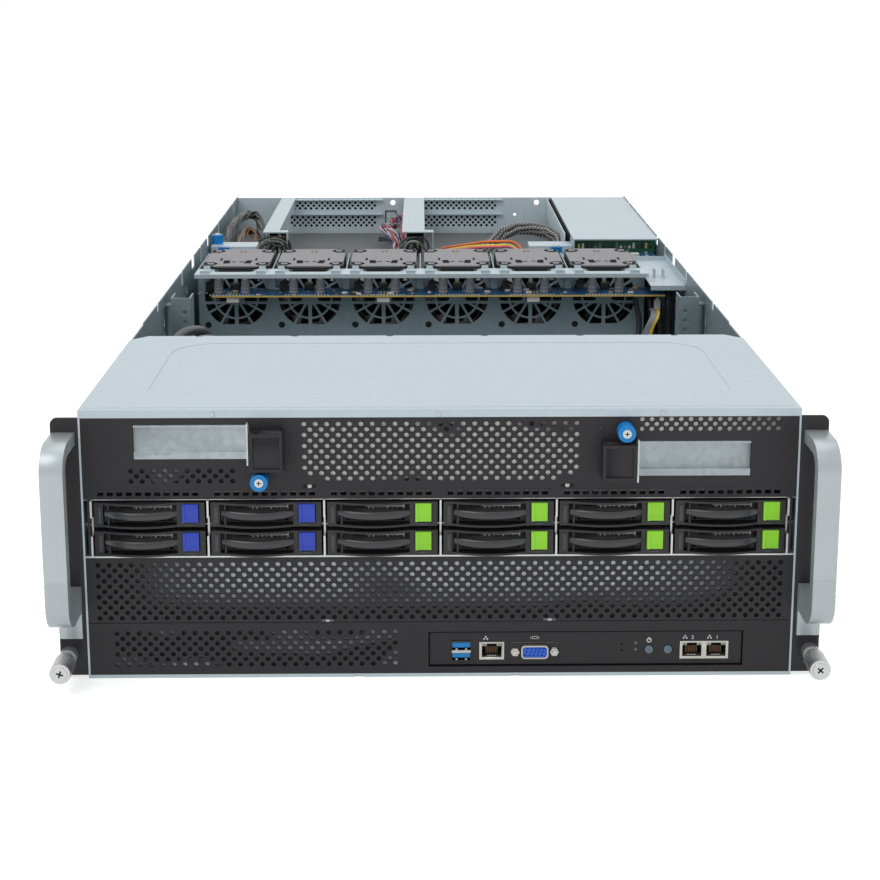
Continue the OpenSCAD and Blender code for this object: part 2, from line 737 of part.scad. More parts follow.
// Wall, shelf, dividers and rails that carry the fan modules
module fan_wall() {
  color("lightslategray") from_front() {
    upright_plate(fan_wall_y, sheet) difference() {
      window(bank_x, [sheet, 172]);
      for (n = [0:fan_count - 1])
        translate([fan_x0 + n * fan_pitch, fan_axis_z]) grille_openings();
      for (n = [0:11])
        round_window([bank_x[0] + 14 + n * 32.6, bank_x[0] + 38 + n * 32.6], [30, 96], 6);
    }
    block(bank_x, [fan_wall_y + sheet, fan_y + fan_d], [shelf_z - sheet, shelf_z]);
    for (n = [0:fan_count])
      side_profile(fan_x0 + (n - 0.5) * fan_pitch - 0.5, 1)
        window([fan_wall_y + sheet, fan_y + fan_d], [shelf_z, 172]);
    fan_top_rail();
    support_tray();
  }
}

// Slotted top rail in front of the fans, scalloped below each top plate
module fan_top_rail() {
  rail_z = [171, 172.2];
  rail_front = 448;
  difference() {
    block(bank_x, [rail_front, fan_wall_y], rail_z);
    for (n = [0:fan_count - 1])
      translate([fan_x0 + n * fan_pitch, fan_wall_y - 2, 170]) linear_extrude(4)
        round_window([-18, 18], [-12, 16], 5);
  }
  block(bank_x, [rail_front, rail_front + 1], [168.6, 171]);
  for (n = [0:fan_count - 1], side = [-1, 1]) {
    x = fan_x0 + n * fan_pitch + side * 25;
    block([x - 4, x + 4], [450, 468], [172.2, 173.4]);
    block([x - 4, x + 4], [450, 451.2], [173.4, 175]);
    block([x - 3, x + 3], [466.8, 468], [173.4, 176]);
  }
  for (n = [1:fan_count - 1])
    block([fan_x0 + (n - 0.5) * fan_pitch - 3, fan_x0 + (n - 0.5) * fan_pitch + 3],
      [fan_wall_y - 6, fan_wall_y], [board_z + 0.2, 171]);
}

// Small tray between the fan bank and the right side wall
module support_tray() {
  x = [bank_x[1], inner_w];
  z = 162.8;
  block(x, [434, 555], [z, z + sheet]);
  block(x, [434, 435], [z - 3, z]);
  block([x[1] - 1, x[1]], [434, 555], [z + sheet, z + 7]);
  block(x, [554, 555], [z + sheet, z + 5]);
  for (dx = [8, 16])
    block([x[0] + dx, x[0] + dx + 1], [468, 480], [z + sheet, z + 9]);
}

// Grille windows of one fan, cut flat above and below, between a ring and spokes
module grille_openings() {
  r = fan_bore / 2;
  translate([0, 3]) difference() {
    intersection() {
      circle(r, $fn = 64);
      window([-r, r], [-25.4, 23.5]);
    }
    window([-1.7, 1.7], [-fan_bore, fan_bore]);
    for (turn = [30, 60, 120, 150])
      rotate(turn) window([-fan_bore, fan_bore], [-1, 1]);
    window([-fan_bore, fan_bore], [-6.5, -4]);
    difference() {
      circle(20.7, $fn = 64);
      circle(18.9, $fn = 64);
    }
    circle(7.5, $fn = 32);
  }
  translate([-fan_size / 2 + 4, -fan_size / 2 + 7]) circle(r = 3, $fn = 24);
}

// Fan board in front of the wall, with capacitors and small plugs
module fan_board() {
  thick = 1.6;
  from_front() {
    color("#123e6b") difference() {
      block([-198, 206], [441, fan_wall_y], [board_z - thick, board_z]);
      for (n = [0:fan_count - 2])
        translate([fan_x0 + (n + 0.5) * fan_pitch - 8, 446, board_z - 3])
          cylinder(r = 1.6, h = 5, $fn = 20);
    }
    color("gray") for (n = [0:fan_count - 1], dx = [-13, 11])
      translate([fan_x0 + n * fan_pitch + dx, 453, board_z])
        cylinder(r = 4, h = 13, $fn = 32);
    color("white") for (n = [0, 2, 4])
      block([fan_x0 + n * fan_pitch - 5, fan_x0 + n * fan_pitch + 6], [443, 448],
        [board_z - thick - 5, board_z - thick]);
    color("#2b2b2b") for (n = [0:fan_count - 1])
      block([fan_x0 + n * fan_pitch - 26, fan_x0 + n * fan_pitch - 20], [462, 472],
        [board_z, board_z + 7]);
  }
}

// Fan frame with its duct, spider and top plate
module fan_module(n) {
  half = fan_size / 2;
  from_front() translate([fan_x0 + (n - 1) * fan_pitch, fan_y, fan_axis_z]) {
    color("#2e2e31") {
      difference() {
        block([-half, half], [0, fan_d], [-half, half]);
        rod(0, -cut, 0, fan_bore / 2, fan_d + 2 * cut, 96);
      }
      tube(0, 14 + rotor_d + 1, 0, hub_r, shaft_r + running_gap, 22);
      for (turn = [45:90:315])
        rotate([0, turn, 0])
          block([hub_r - 1, fan_bore / 2 + 1], [14 + rotor_d + 4, 14 + rotor_d + 7], [-1.5, 1.5]);
    }
    color("#8f8d93") fan_top_plate(half);
  }
}

// Top plate on two folded sides and four corner bosses, with a lip at its front
module fan_top_plate(half) {
  plate_z = fan_top - fan_axis_z;
  lip = 5;
  ears = [for (sx = [-1, 1], y = [6, fan_d - 7]) [sx * 23.5, y]];
  translate([0, 0, plate_z - 1.2]) linear_extrude(1.2) difference() {
    union() {
      round_window([-21, 21], [-lip, fan_d + 3], 4);
      window([-half, half], [15, fan_d - 16]);
      for (p = ears)
        translate(p) circle(r = 7, $fn = 32);
    }
    for (sx = [-1, 1]) {
      window([sx * 9 - 3, sx * 9 + 3], [11, 15]);
      window([sx * 16 - 1, sx * 16 + 1], [22, 34]);
    }
    round_window([-2.4, 2.4], [fan_d - 8, fan_d - 5], 1.2);
  }
  block([-15, 15], [-lip, -lip + 1.2], [plate_z - 6, plate_z - 1.2]);
  for (p = ears)
    translate([p[0], p[1], half]) cylinder(r = 3.4, h = plate_z - 1.2 - half, $fn = 24);
  for (x = [[-half, -half + 1.2], [half - 1.2, half]])
    block(x, [15, fan_d - 16], [half, plate_z - 1.2]);
}

// Fan rotor: hub, shaft and curved blades
module fan_rotor(n) {
  blade_r = fan_bore / 2 - 1.2;
  color("#3a3a3e") from_front() translate([fan_x0 + (n - 1) * fan_pitch, rotor_y, fan_axis_z]) {
    difference() {
      rod(0, 0, 0, hub_r, rotor_d, 48);
      rod(0, -cut, 0, hub_r - 3, 1.5, 48);
    }
    rod(0, rotor_d, 0, shaft_r, 20);
    intersection() {
      difference() {
        rod(0, 0, 0, blade_r, rotor_d, 96);
        rod(0, -cut, 0, hub_r - 0.5, rotor_d + 2 * cut, 48);
      }
      for (k = [0:blade_count - 1])
        rotate([0, k * 360 / blade_count, 0]) fan_blade(blade_r);
    }
  }
}

// One blade: an arc in section, drawn outwards from the hub
module fan_blade(reach) {
  bow = 22;
  rotate([0, 90, 0]) linear_extrude(reach + 1) intersection() {
    difference() {
      translate([-bow * 0.72, rotor_d * 0.62 - bow]) circle(bow, $fn = 64);
      translate([-bow * 0.72, rotor_d * 0.62 - bow]) circle(bow - 1.6, $fn = 64);
    }
    translate([-12, 1.5]) square([20, rotor_d - 3]);
  }
}

// Sheet cage round the power supplies, with its connector boards
module psu_cage() {
  top = wall_top;
  color("lightslategray") from_front() {
    block([cage_x, cage_x + sheet], [cage_front_y, body_d - sheet], [sheet, top]);
    block([cage_x + sheet, inner_w], [cage_front_y, body_d - sheet], [top - sheet, top]);
    for (z = psu_z)
      block([cage_x + sheet, inner_w], [cage_front_y + 10, body_d - sheet], [z - sheet, z]);
  }
  from_front() {
    color("darkgreen")
      block([cage_x + sheet, inner_w - 2], [cage_front_y + 8, cage_front_y + 10],
        [psu_z[1] - 4, top - sheet]);
    color("#1c4f80")
      block([cage_x + sheet, inner_w - 4], [566, cage_front_y + 8], [160, 161.6]);
    color("white") for (k = [0:4])
      block([cage_x + 14 + k * 10, cage_x + 21 + k * 10], [572, 578], [161.6, 167]);
  }
}

// Hot swap power supply: case, fan vent, inlet and pull handle
module power_supply(z) {
  x0 = psu_x - psu_w / 2;
  x1 = psu_x + psu_w / 2;
  rear = body_d;
  color("silver") from_front() difference() {
    block([x0, x1], [rear - psu_len, rear], [z, z + psu_h]);
    block([x1 - 30, x1 - 8], [rear - 16, rear + cut], [z + 8, z + 30]);
    for (k = [0:6])
      block([x0 + 6, x0 + 34], [rear - 2, rear + cut], [z + 5 + k * 4, z + 7 + k * 4]);
  }
  color("#2b2b2e") from_front() {
    difference() {
      block([x0 + 36, x0 + 42], [rear, rear + 22], [z + 4, z + psu_h - 4]);
      block([x0 + 36 - cut, x0 + 42 + cut], [rear, rear + 16], [z + 9, z + psu_h - 9]);
    }
    block([x1 - 26, x1 - 12], [rear - 15, rear - 4], [z + 12, z + 26]);
    block([x1 - 26, x1 - 12], [rear - 16, rear - 15], [z + 8, z + 30]);
  }
}

module psu_1() { power_supply(psu_z[0]); }
module psu_2() { power_supply(psu_z[1]); }

// Mainboard with two heatsinks, memory and card slots
module mainboard() {
  top = 9.6;
  from_front() {
    color("darkgreen") block([-210, 130], [566, 872], [8, top]);
    color("gray") for (x = [-200, -60, 120], y = [576, 720, 862])
      translate([x, y, sheet]) cylinder(r = 3, h = 8 - sheet, $fn = 24);
    color("silver") for (x = [-120, 30]) {
      block([x - 35, x + 35], [590, 670], [top, top + 8]);
      for (k = [0:13])
        block([x - 34 + k * 5.1, x - 33 + k * 5.1], [590, 670], [top + 8, top + 60]);
    }
    color("#202024") for (x = [-45, 105], k = [0:3])
      block([x - k * 9, x - k * 9 + 1.4], [580, 712], [top, top + 31]);
    color("#202024") for (x = [-150, -110, -70, 10, 50, 90])
      block([x - 4, x + 4], [740, 830], [top, top + 11]);
  }
}

// Dark air baffle that roofs the board and floors the card bay
module air_baffle() {
  wall = 1.5;
  color("#6b6c70") from_front() {
    difference() {
      block(baffle_x, baffle_y, [baffle_z - wall, baffle_z]);
      block([-60, -20], [820, 850], [baffle_z - 3, baffle_z + cut]);
    }
    for (x = [[baffle_x[0], baffle_x[0] + wall], [baffle_x[1] - wall, baffle_x[1]]])
      block(x, baffle_y, [sheet, baffle_z - wall]);
  }
}

// Beams, brackets and captive screws that hold the expansion cards
module card_supports() {
  beam_y = [648, body_d - sheet];
  from_front() {
    color("lightsteelblue") {
      for (x = [[-172, -156], [-31, -8]]) {
        block(x, beam_y, [wall_top - sheet, wall_top]);
        block([x[1] - 1, x[1]], [beam_y[0] + 11, beam_y[1] - 8], [166, wall_top - sheet]);
        block([x[0] + 3, x[0] + 4], [beam_y[0], beam_y[0] + 8], [baffle_z, wall_top - sheet]);
        block([x[1], x[1] + 9], [beam_y[0], beam_y[0] + 11], [wall_top - sheet, wall_top]);
        block([x[1] + 8, x[1] + 9], [beam_y[0], beam_y[0] + 11], [150, wall_top - sheet]);
      }
      support_bracket([-220, -175], [-214, -176]);
      support_bracket([96, cage_x - 0.4], [96, 134.6]);
    }
    color("deepskyblue") {
      upright_screw(-215.5, 630, bracket_z);
      upright_screw(-206, 602, ledge_z);
      upright_screw(122, 602, ledge_z);
    }
  }
}

bracket_z = 167.4;
ledge_z = 160;

// A plate on two legs, with a ledge below its front edge
module support_bracket(x, legs) {
  block(x, [612, 638], [bracket_z - sheet, bracket_z]);
  block(x, [612, 613], [ledge_z - sheet, bracket_z - sheet]);
  block(x, [594, 612], [ledge_z - sheet, ledge_z]);
  for (leg = legs)
    block([leg, leg + 1], [613, 638], [baffle_z, bracket_z - sheet]);
}

// Knurled captive screw that stands upright
module upright_screw(x, y, z) {
  translate([x, y, z]) linear_extrude(9) difference() {
    circle(5.5, $fn = 48);
    for (k = [0:23])
      rotate(k * 15) translate([5.5, 0]) circle(0.33, $fn = 4);
  }
}

// Cables held inside the chassis
module wiring() {
  from_front() {
    color("dimgray") cable(loop_route, 5);
    color("dimgray") cable(second_loop, 3.4);
    color("#2c2c2e") cable(mesh_route, 6.5);
    color("orangered") cable(orange_route, 1.6, 8);
    color("gold") cable(yellow_route, 1.6, 8);
    color("gray") cable(grey_route, 4);
    color("gray") cable(grey_second, 4);
    color("mediumpurple") cable(riser_wires, 3);
  }
}

chassis_pan();
rear_panel();
front_cover();
upper_front_panel();
slot_covers();
drive_cage();
vent_panel();
lower_front_panel();
io_ports();
rack_ears();
handles();
left_thumbscrew();
right_thumbscrew();
power_button();
id_button();
fan_wall();
fan_board();
psu_cage();
psu_1();
psu_2();
mainboard();
air_baffle();
card_supports();
wiring();
for (n = [1:12])
  drive_tray(n);
for (n = [1:12])
  tray_lever(n);
for (n = [1:6])
  fan_module(n);
for (n = [1:6])
  fan_rotor(n);
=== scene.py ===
"""Dresses the rack server's frame: finishes, trays, fans, boards, cables, fasteners and stage."""
import json
import math
import random

import bmesh
import bpy
from bpy.props import FloatProperty, FloatVectorProperty, IntProperty, PointerProperty
from mathutils import Matrix, Vector

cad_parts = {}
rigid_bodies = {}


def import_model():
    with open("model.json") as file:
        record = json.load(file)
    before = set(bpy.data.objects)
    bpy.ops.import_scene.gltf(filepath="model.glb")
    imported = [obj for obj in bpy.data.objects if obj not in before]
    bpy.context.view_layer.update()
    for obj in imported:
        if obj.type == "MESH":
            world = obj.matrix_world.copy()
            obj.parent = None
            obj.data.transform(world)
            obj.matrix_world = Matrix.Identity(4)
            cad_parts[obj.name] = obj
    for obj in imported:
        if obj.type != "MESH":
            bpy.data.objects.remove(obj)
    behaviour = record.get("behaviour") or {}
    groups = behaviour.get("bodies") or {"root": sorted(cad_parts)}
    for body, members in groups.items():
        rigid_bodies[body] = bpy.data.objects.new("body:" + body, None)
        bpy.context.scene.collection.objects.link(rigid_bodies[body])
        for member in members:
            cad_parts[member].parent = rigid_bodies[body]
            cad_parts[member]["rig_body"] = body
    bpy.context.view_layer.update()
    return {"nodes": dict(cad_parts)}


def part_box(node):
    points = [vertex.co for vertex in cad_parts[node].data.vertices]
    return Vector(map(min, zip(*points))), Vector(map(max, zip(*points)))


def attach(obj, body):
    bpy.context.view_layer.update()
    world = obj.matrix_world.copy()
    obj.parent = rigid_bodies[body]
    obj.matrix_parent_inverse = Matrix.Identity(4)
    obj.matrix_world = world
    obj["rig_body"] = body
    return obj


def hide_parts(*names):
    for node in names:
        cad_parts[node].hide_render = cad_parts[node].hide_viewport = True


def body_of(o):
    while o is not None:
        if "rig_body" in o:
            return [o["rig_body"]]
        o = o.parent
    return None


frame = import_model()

bl_info = {
    "name": "Rack Server Dressing",
    "version": (1, 0, 0),
    "blender": (4, 5, 0),
    "location": "View3D > Sidebar > Server",
    "description": "Finishes and small parts of an open four-unit rack server",
    "category": "Object",
}

MM = 0.001
MERGE = 1e-6                                # points closer than this, in metres, are one
REAR_SHADE_DEPTH = (879.3, 879.5)                  # depth of the dark sheets of painted shade inside the rear sheet
TRAYS = sorted(n for n in frame["nodes"] if n.startswith("drive_tray_"))
LEVERS = sorted(n for n in frame["nodes"] if n.startswith("tray_lever_"))
FANS = sorted(n for n in frame["nodes"] if n.startswith("fan_module_"))
ROTORS = sorted(n for n in frame["nodes"] if n.startswith("fan_rotor_"))
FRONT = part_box("vent_panel")[0].y           # front plane of the panels
BODY_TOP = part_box("front_cover")[1].z
CENTRE = Vector((0.0, 0.0, BODY_TOP / 2))
LAN_SPANS = ((24.7, 40.5), (152.7, 168.1), (168.1, 183.6))     # across the network sockets
KNOBS = ((-215.5, 630, 167.3), (-206, 602, 159.9), (122, 602, 159.9))

# Routes of the cables in millimetres: across, behind the front plane, above the base
LOOP = [(-212, 652, 150), (-213, 680, 160), (-213, 720, 167), (-209, 760, 170.5),
        (-202, 790, 171), (-194, 796, 169), (-188, 780, 163), (-182, 745, 155),
        (-178, 722, 147), (-177, 700, 141)]
SECOND_LOOP = [(-203, 660, 145), (-203, 690, 152), (-203, 728, 157), (-201, 760, 159),
               (-196, 768, 157), (-190, 750, 151), (-187, 726, 144), (-187, 706, 139)]
SUPPLY_BUNDLE = [(48, 665, 146), (60, 690, 154), (73, 702, 164), (88, 710, 168),
                 (106, 710, 168), (122, 704, 165), (131, 690, 159), (131.5, 668, 150),
                 (131, 650, 143)]
ORANGE = [(10, 694, 150), (26, 676, 156), (42, 656, 162), (54, 644, 166), (66, 640, 167),
          (84, 646, 164), (92, 640, 156)]
YELLOW = [(6, 688, 148), (22, 670, 154), (38, 650, 160), (51, 638, 163), (64, 634, 164),
          (80, 640, 162), (90, 636, 154)]
SENSOR = [(-39, 700, 140), (-38, 712, 149), (-39, 730, 152), (-46, 760, 156),
          (-52, 790, 156), (-50, 815, 152), (-43, 840, 150), (-40, 860, 151), (-38, 874, 152)]
SENSOR_BRANCH = [(-22, 700, 140), (-24, 720, 150), (-30, 745, 157), (-27, 775, 160),
                 (-33, 805, 160), (-30, 840, 156), (-36, 874, 153)]
GREY = [(-210, 137, 96), (-212, 190, 108), (-212, 240, 138), (-204, 275, 156),
        (-192, 310, 154), (-186, 350, 134), (-190, 410, 100), (-200, 472, 70)]
GREY_SECOND = [(-200, 137, 96), (-201, 190, 108), (-202, 236, 134), (-195, 264, 150),
               (-183, 300, 149), (-177, 350, 126), (-180, 410, 96), (-188, 472, 62)]


# ---------------------------------------------------------------- settings

def colour(name, description, value):
    return FloatVectorProperty(name=name, description=description, default=value,
                               subtype="COLOR", size=3, min=0.0, max=1.0)


def length(name, description, value):
    return FloatProperty(name=name, description=description, default=value,
                         unit="LENGTH", subtype="DISTANCE", min=0.0)


class ServerFinishes(bpy.types.PropertyGroup):
    cover: colour("Cover", "Pale plated sheet of the top cover", (0.495, 0.585, 0.63))
    # partly the chassis sheet's own tone, partly painted shade: set darker than the cover for the
    # inner walls out of the light
    wall: colour("Wall", "Zinc-plated sheet of the chassis", (0.25, 0.32, 0.35))
    panel: colour("Panel", "Black powder coat of the front", (0.0135, 0.0125, 0.0145))
    bright: colour("Bright sheet", "Bright sheet of the drive cage", (0.56, 0.57, 0.56))
    galvanised: colour("Galvanised", "Galvanised sheet of the slot covers", (0.54, 0.61, 0.64))
    handle: colour("Handle", "Satin aluminium of the handles", (0.42, 0.465, 0.48))
    plastic: colour("Tray plastic", "Black plastic of the trays", (0.0145, 0.0142, 0.016))
    latch_a: colour("First latch", "Latches of the first two columns", (0.026, 0.062, 0.47))
    latch_b: colour("Second latch", "Latches of the other columns", (0.29, 0.70, 0.035))
    knob: colour("Screw knob", "Blue caps of the captive screws", (0.004, 0.21, 0.56))
    board: colour("Board", "Solder mask of the fan board", (0.006, 0.06, 0.155))
    plate: colour("Fan plate", "Top plates of the fan modules", (0.215, 0.212, 0.23))
    baffle: colour("Baffle", "Plastic sheet of the air baffle", (0.115, 0.125, 0.132))


class ServerSizes(bpy.types.PropertyGroup):
    edge: length("Edge", "Radius of the folded and moulded edges", 0.00025)
    screw_head: length("Screw head", "Diameter of a small screw head", 0.0046)


class ServerStage(bpy.types.PropertyGroup):
    lens: FloatProperty(name="Lens", description="Focal length", default=65.6,
                        subtype="DISTANCE_CAMERA", min=1.0)
    light: FloatProperty(name="Light", description="Strength of the soft light all round",
                         default=0.62, min=0.0)
    lamps: FloatProperty(name="Lamps", description="Strength of the studio lamps",
                         default=0.62, min=0.0)
    floor_glow: FloatProperty(name="Floor glow", description="Lift of the floor towards white",
                              default=0.5, min=0.0)


def finishes():
    return bpy.context.scene.server_finishes


# ---------------------------------------------------------------- shader tools

class Value:
    """A shader socket on which Python arithmetic adds Math nodes."""

    def __init__(self, finish, socket):
        self.finish = finish
        self.socket = socket

    def _math(self, operation, *inputs):
        return self.finish.node("ShaderNodeMath", {"operation": operation},
                                dict(enumerate(inputs)))

    def __add__(self, other):
        return self._math("ADD", self, other)

    def __radd__(self, other):
        return self._math("ADD", other, self)

    def __sub__(self, other):
        return self._math("SUBTRACT", self, other)

    def __rsub__(self, other):
        return self._math("SUBTRACT", other, self)

    def __mul__(self, other):
        return self._math("MULTIPLY", self, other)

    def __rmul__(self, other):
        return self._math("MULTIPLY", other, self)

    def __truediv__(self, other):
        return self._math("DIVIDE", self, other)

    def __gt__(self, other):
        return self._math("GREATER_THAN", self, other)

    def __lt__(self, other):
        return self._math("LESS_THAN", self, other)

    def wave(self):
        return self._math("SINE", self)


class Finish:
    """One procedural material, read from Object coordinates unless told otherwise."""

    def __init__(self, name):
        self.material = bpy.data.materials.new(name)
        self.material.use_nodes = True
        self.tree = self.material.node_tree
        self.tree.nodes.clear()
        self.place = self.node("ShaderNodeTexCoord", output="Object")
        self.uv = None

    def node(self, kind, settings=None, sockets=None, output=0):
        made = self.tree.nodes.new(kind)
        for key, value in (settings or {}).items():
            if key == "stops":
                self._set_stops(made.color_ramp, value)
            else:
                setattr(made, key, value)
        for key, value in (sockets or {}).items():
            if isinstance(value, Value):
                self.tree.links.new(value.socket, made.inputs[key])
            else:
                made.inputs[key].default_value = value
        return Value(self, made.outputs[output])

    @staticmethod
    def _set_stops(ramp, stops):
        while len(ramp.elements) < len(stops):
            ramp.elements.new(0.5)
        for element, (position, shade) in zip(ramp.elements, stops):
            element.position = position
            element.color = (shade, shade, shade, 1.0)

    def along_cable(self):
        """The distance along a cable and the share of the way round it."""
        uv = self.node("ShaderNodeUVMap", {"uv_map": "UVMap"})
        return (self.node("ShaderNodeSeparateXYZ", sockets={0: uv}, output=k) for k in (0, 1))

    def axis(self, letter):
        return self.node("ShaderNodeSeparateXYZ", sockets={0: self.place}, output=letter)

    def stretched(self, scale):
        return self.node("ShaderNodeMapping", sockets={"Vector": self.place, "Scale": scale})

    def noise(self, scale, detail=2.0, stretch=None):
        where = self.stretched(stretch) if stretch else self.place
        return self.node("ShaderNodeTexNoise", {"noise_dimensions": "3D"},
                         {"Vector": where, "Scale": scale, "Detail": detail})

    def cells(self, scale, output="Distance"):
        return self.node("ShaderNodeTexVoronoi", {"feature": "F1"},
                         {"Vector": self.place, "Scale": scale}, output)

    def ramp(self, value, stops):
        return self.node("ShaderNodeValToRGB", {"stops": stops}, {0: value})

    def mix(self, factor, first, second):
        return self.node("ShaderNodeMix", {"data_type": "RGBA"},
                         {0: factor, 6: rgba(first), 7: rgba(second)}, 2)

    def bump(self, height, strength, distance):
        return self.node("ShaderNodeBump", sockets={
            "Height": height, "Strength": strength, "Distance": distance}, output="Normal")

    def surface(self, base, roughness, metallic=0.0, normal=None, **constants):
        sockets = {"Base Color": rgba(base), "Roughness": roughness, "Metallic": metallic}
        if normal:
            sockets["Normal"] = normal
        for key, value in constants.items():
            sockets[key.replace("_", " ")] = value
        shader = self.node("ShaderNodeBsdfPrincipled", sockets=sockets)
        end = self.tree.nodes.new("ShaderNodeOutputMaterial")
        self.tree.links.new(shader.socket, end.inputs["Surface"])
        return self.material


def rgba(value):
    return value if isinstance(value, Value) else (*value[:3], 1.0)


def shade(value, factor):
    return tuple(min(1.0, c * factor) for c in value)


# ---------------------------------------------------------------- finishes

def plated_sheet(name, base, metallic, roughness, spread=0.12):
    """Zinc-plated sheet: faint spangle, rolled grain and handling marks."""
    f = Finish(name)
    spangle = f.cells(260.0, "Color")
    grain = f.noise(900.0, 3.0, (1.0, 0.06, 1.0))
    cloud = f.noise(14.0, 3.0)
    tint = f.mix(spangle, shade(base, 1 - spread), shade(base, 1 + spread))
    tint = f.mix(cloud * 0.35, tint, rgba(shade(base, 0.86)))
    rough = roughness + (grain - 0.5) * 0.12 + (cloud - 0.5) * 0.1
    return f.surface(tint, rough, metallic, f.bump(grain, 0.04, 0.0002))


def powder_coat(name, base, roughness=0.5):
    """Black powder coat with a fine orange peel."""
    f = Finish(name)
    peel = f.noise(1400.0, 2.0)
    cloud = f.noise(9.0, 3.0)
    tint = f.mix(cloud, shade(base, 0.85), shade(base, 1.2))
    return f.surface(tint, roughness + (peel - 0.5) * 0.1, 0.0, f.bump(peel, 0.12, 0.0002),
                     Specular_IOR_Level=0.35)


def moulded(name, base, roughness=0.5, specular=0.4):
    """Moulded plastic with a fine spark-eroded grain."""
    f = Finish(name)
    grain = f.noise(2200.0, 2.0)
    cloud = f.noise(40.0, 2.0)
    tint = f.mix(cloud, shade(base, 0.88), shade(base, 1.12))
    return f.surface(tint, roughness + (grain - 0.5) * 0.12, 0.0, f.bump(grain, 0.1, 0.0001),
                     Specular_IOR_Level=specular)


def bright_metal(name, base, roughness=0.28, metallic=0.9, along=(1.0, 0.08, 1.0)):
    """Bare or nickel-plated metal with fine machining lines."""
    f = Finish(name)
    lines = f.noise(1600.0, 2.0, along)
    cloud = f.noise(30.0, 2.0)
    tint = f.mix(cloud, shade(base, 0.9), shade(base, 1.06))
    return f.surface(tint, roughness + (lines - 0.5) * 0.14, metallic,
                     f.bump(lines, 0.05, 0.0001))


def ribbed_metal(name, base, roughness, metallic, low, high):
    """Satin metal with a band of fine ribs between two heights, in metres."""
    f = Finish(name)
    z = f.axis("Z")
    lines = f.noise(1600.0, 2.0, (1.0, 1.0, 0.08))
    cloud = f.noise(30.0, 2.0)
    ribs = ((z * 4400.0).wave() > 0.3) * (z > low) * (z < high)
    tint = f.mix(cloud, shade(base, 0.93), shade(base, 1.05))
    # the ribs are also painted darker in colour, as painted shade in the grooves between them
    tint = f.mix(ribs * 0.35, tint, shade(base, 0.55))
    return f.surface(tint, roughness + (lines - 0.5) * 0.14, metallic,
                     f.bump(1.0 - ribs, 0.3, 0.0002))


def painted_light_screen(name, dark, pale, patch, cover, reach, floor):
    """Sheet behind vent holes: fine cells, dark as painted shade, with pale patches of painted
    light where light falls through, out to a reach and above a floor.
    """
    f = Finish(name)
    cells = f.cells(700.0)
    x, z = f.axis("X"), f.axis("Z")
    ends = f.ramp(x * x, ((reach * reach * 0.45, 1.0), (reach * reach, 0.0)))
    rise = f.ramp(z, ((floor, 0.0), (floor + 0.016, 1.0)))
    light_patches = f.ramp(f.noise(patch, 1.0, (1.0, 1.0, 2.2)), ((cover, 0.0), (cover + 0.12, 1.0)))
    # painted light: pale patches where light falls through the vents; the dark tone elsewhere is
    # painted shade
    tint = f.mix(light_patches * ends * rise, dark, pale)
    return f.surface(tint, 0.7 + cells * 0.2, 0.0, f.bump(cells, 0.3, 0.0004))


def circuit(name, base):
    """Solder mask with traces and pads below it."""
    f = Finish(name)
    x, y = f.axis("X"), f.axis("Y")
    tracks = ((x * 900.0).wave() > 0.72) * (f.noise(60.0, 1.0) > 0.52)
    cross = ((y * 900.0).wave() > 0.72) * (f.noise(75.0, 1.0) > 0.55)
    pads = f.cells(420.0) < 0.16
    tint = f.mix((tracks + cross) * 0.5, base, shade(base, 1.9))
    tint = f.mix(pads * 0.55, tint, (0.5, 0.5, 0.46))
    return f.surface(tint, 0.34, 0.0, f.bump(tracks + cross, 0.15, 0.0002))


def braided(name, dark, pale):
    """Woven sleeve: two sets of strands that cross along the cable."""
    f = Finish(name)
    u, v = f.along_cable()
    left = ((u * 260.0 + v * 12.566).wave() > 0.2)
    right = ((u * 260.0 - v * 12.566).wave() > 0.2)
    weave = left * (1.0 - right * 0.6)
    thread = f.noise(900.0, 2.0)
    # the strands on top are painted pale: partly the weave's own tone, partly a painted highlight
    # running round the sleeve
    tint = f.mix(weave * 0.8 + thread * 0.2, dark, pale)
    return f.surface(tint, 0.45 + thread * 0.15, 0.0, f.bump(weave, 0.3, 0.0003))


def jacket(name, base):
    """Extruded wire jacket with faint scuffs."""
    f = Finish(name)
    scuff = f.noise(300.0, 3.0)
    tint = f.mix(scuff, shade(base, 0.85), shade(base, 1.15))
    return f.surface(tint, 0.38 + (scuff - 0.5) * 0.2, 0.0, f.bump(scuff, 0.08, 0.0002))


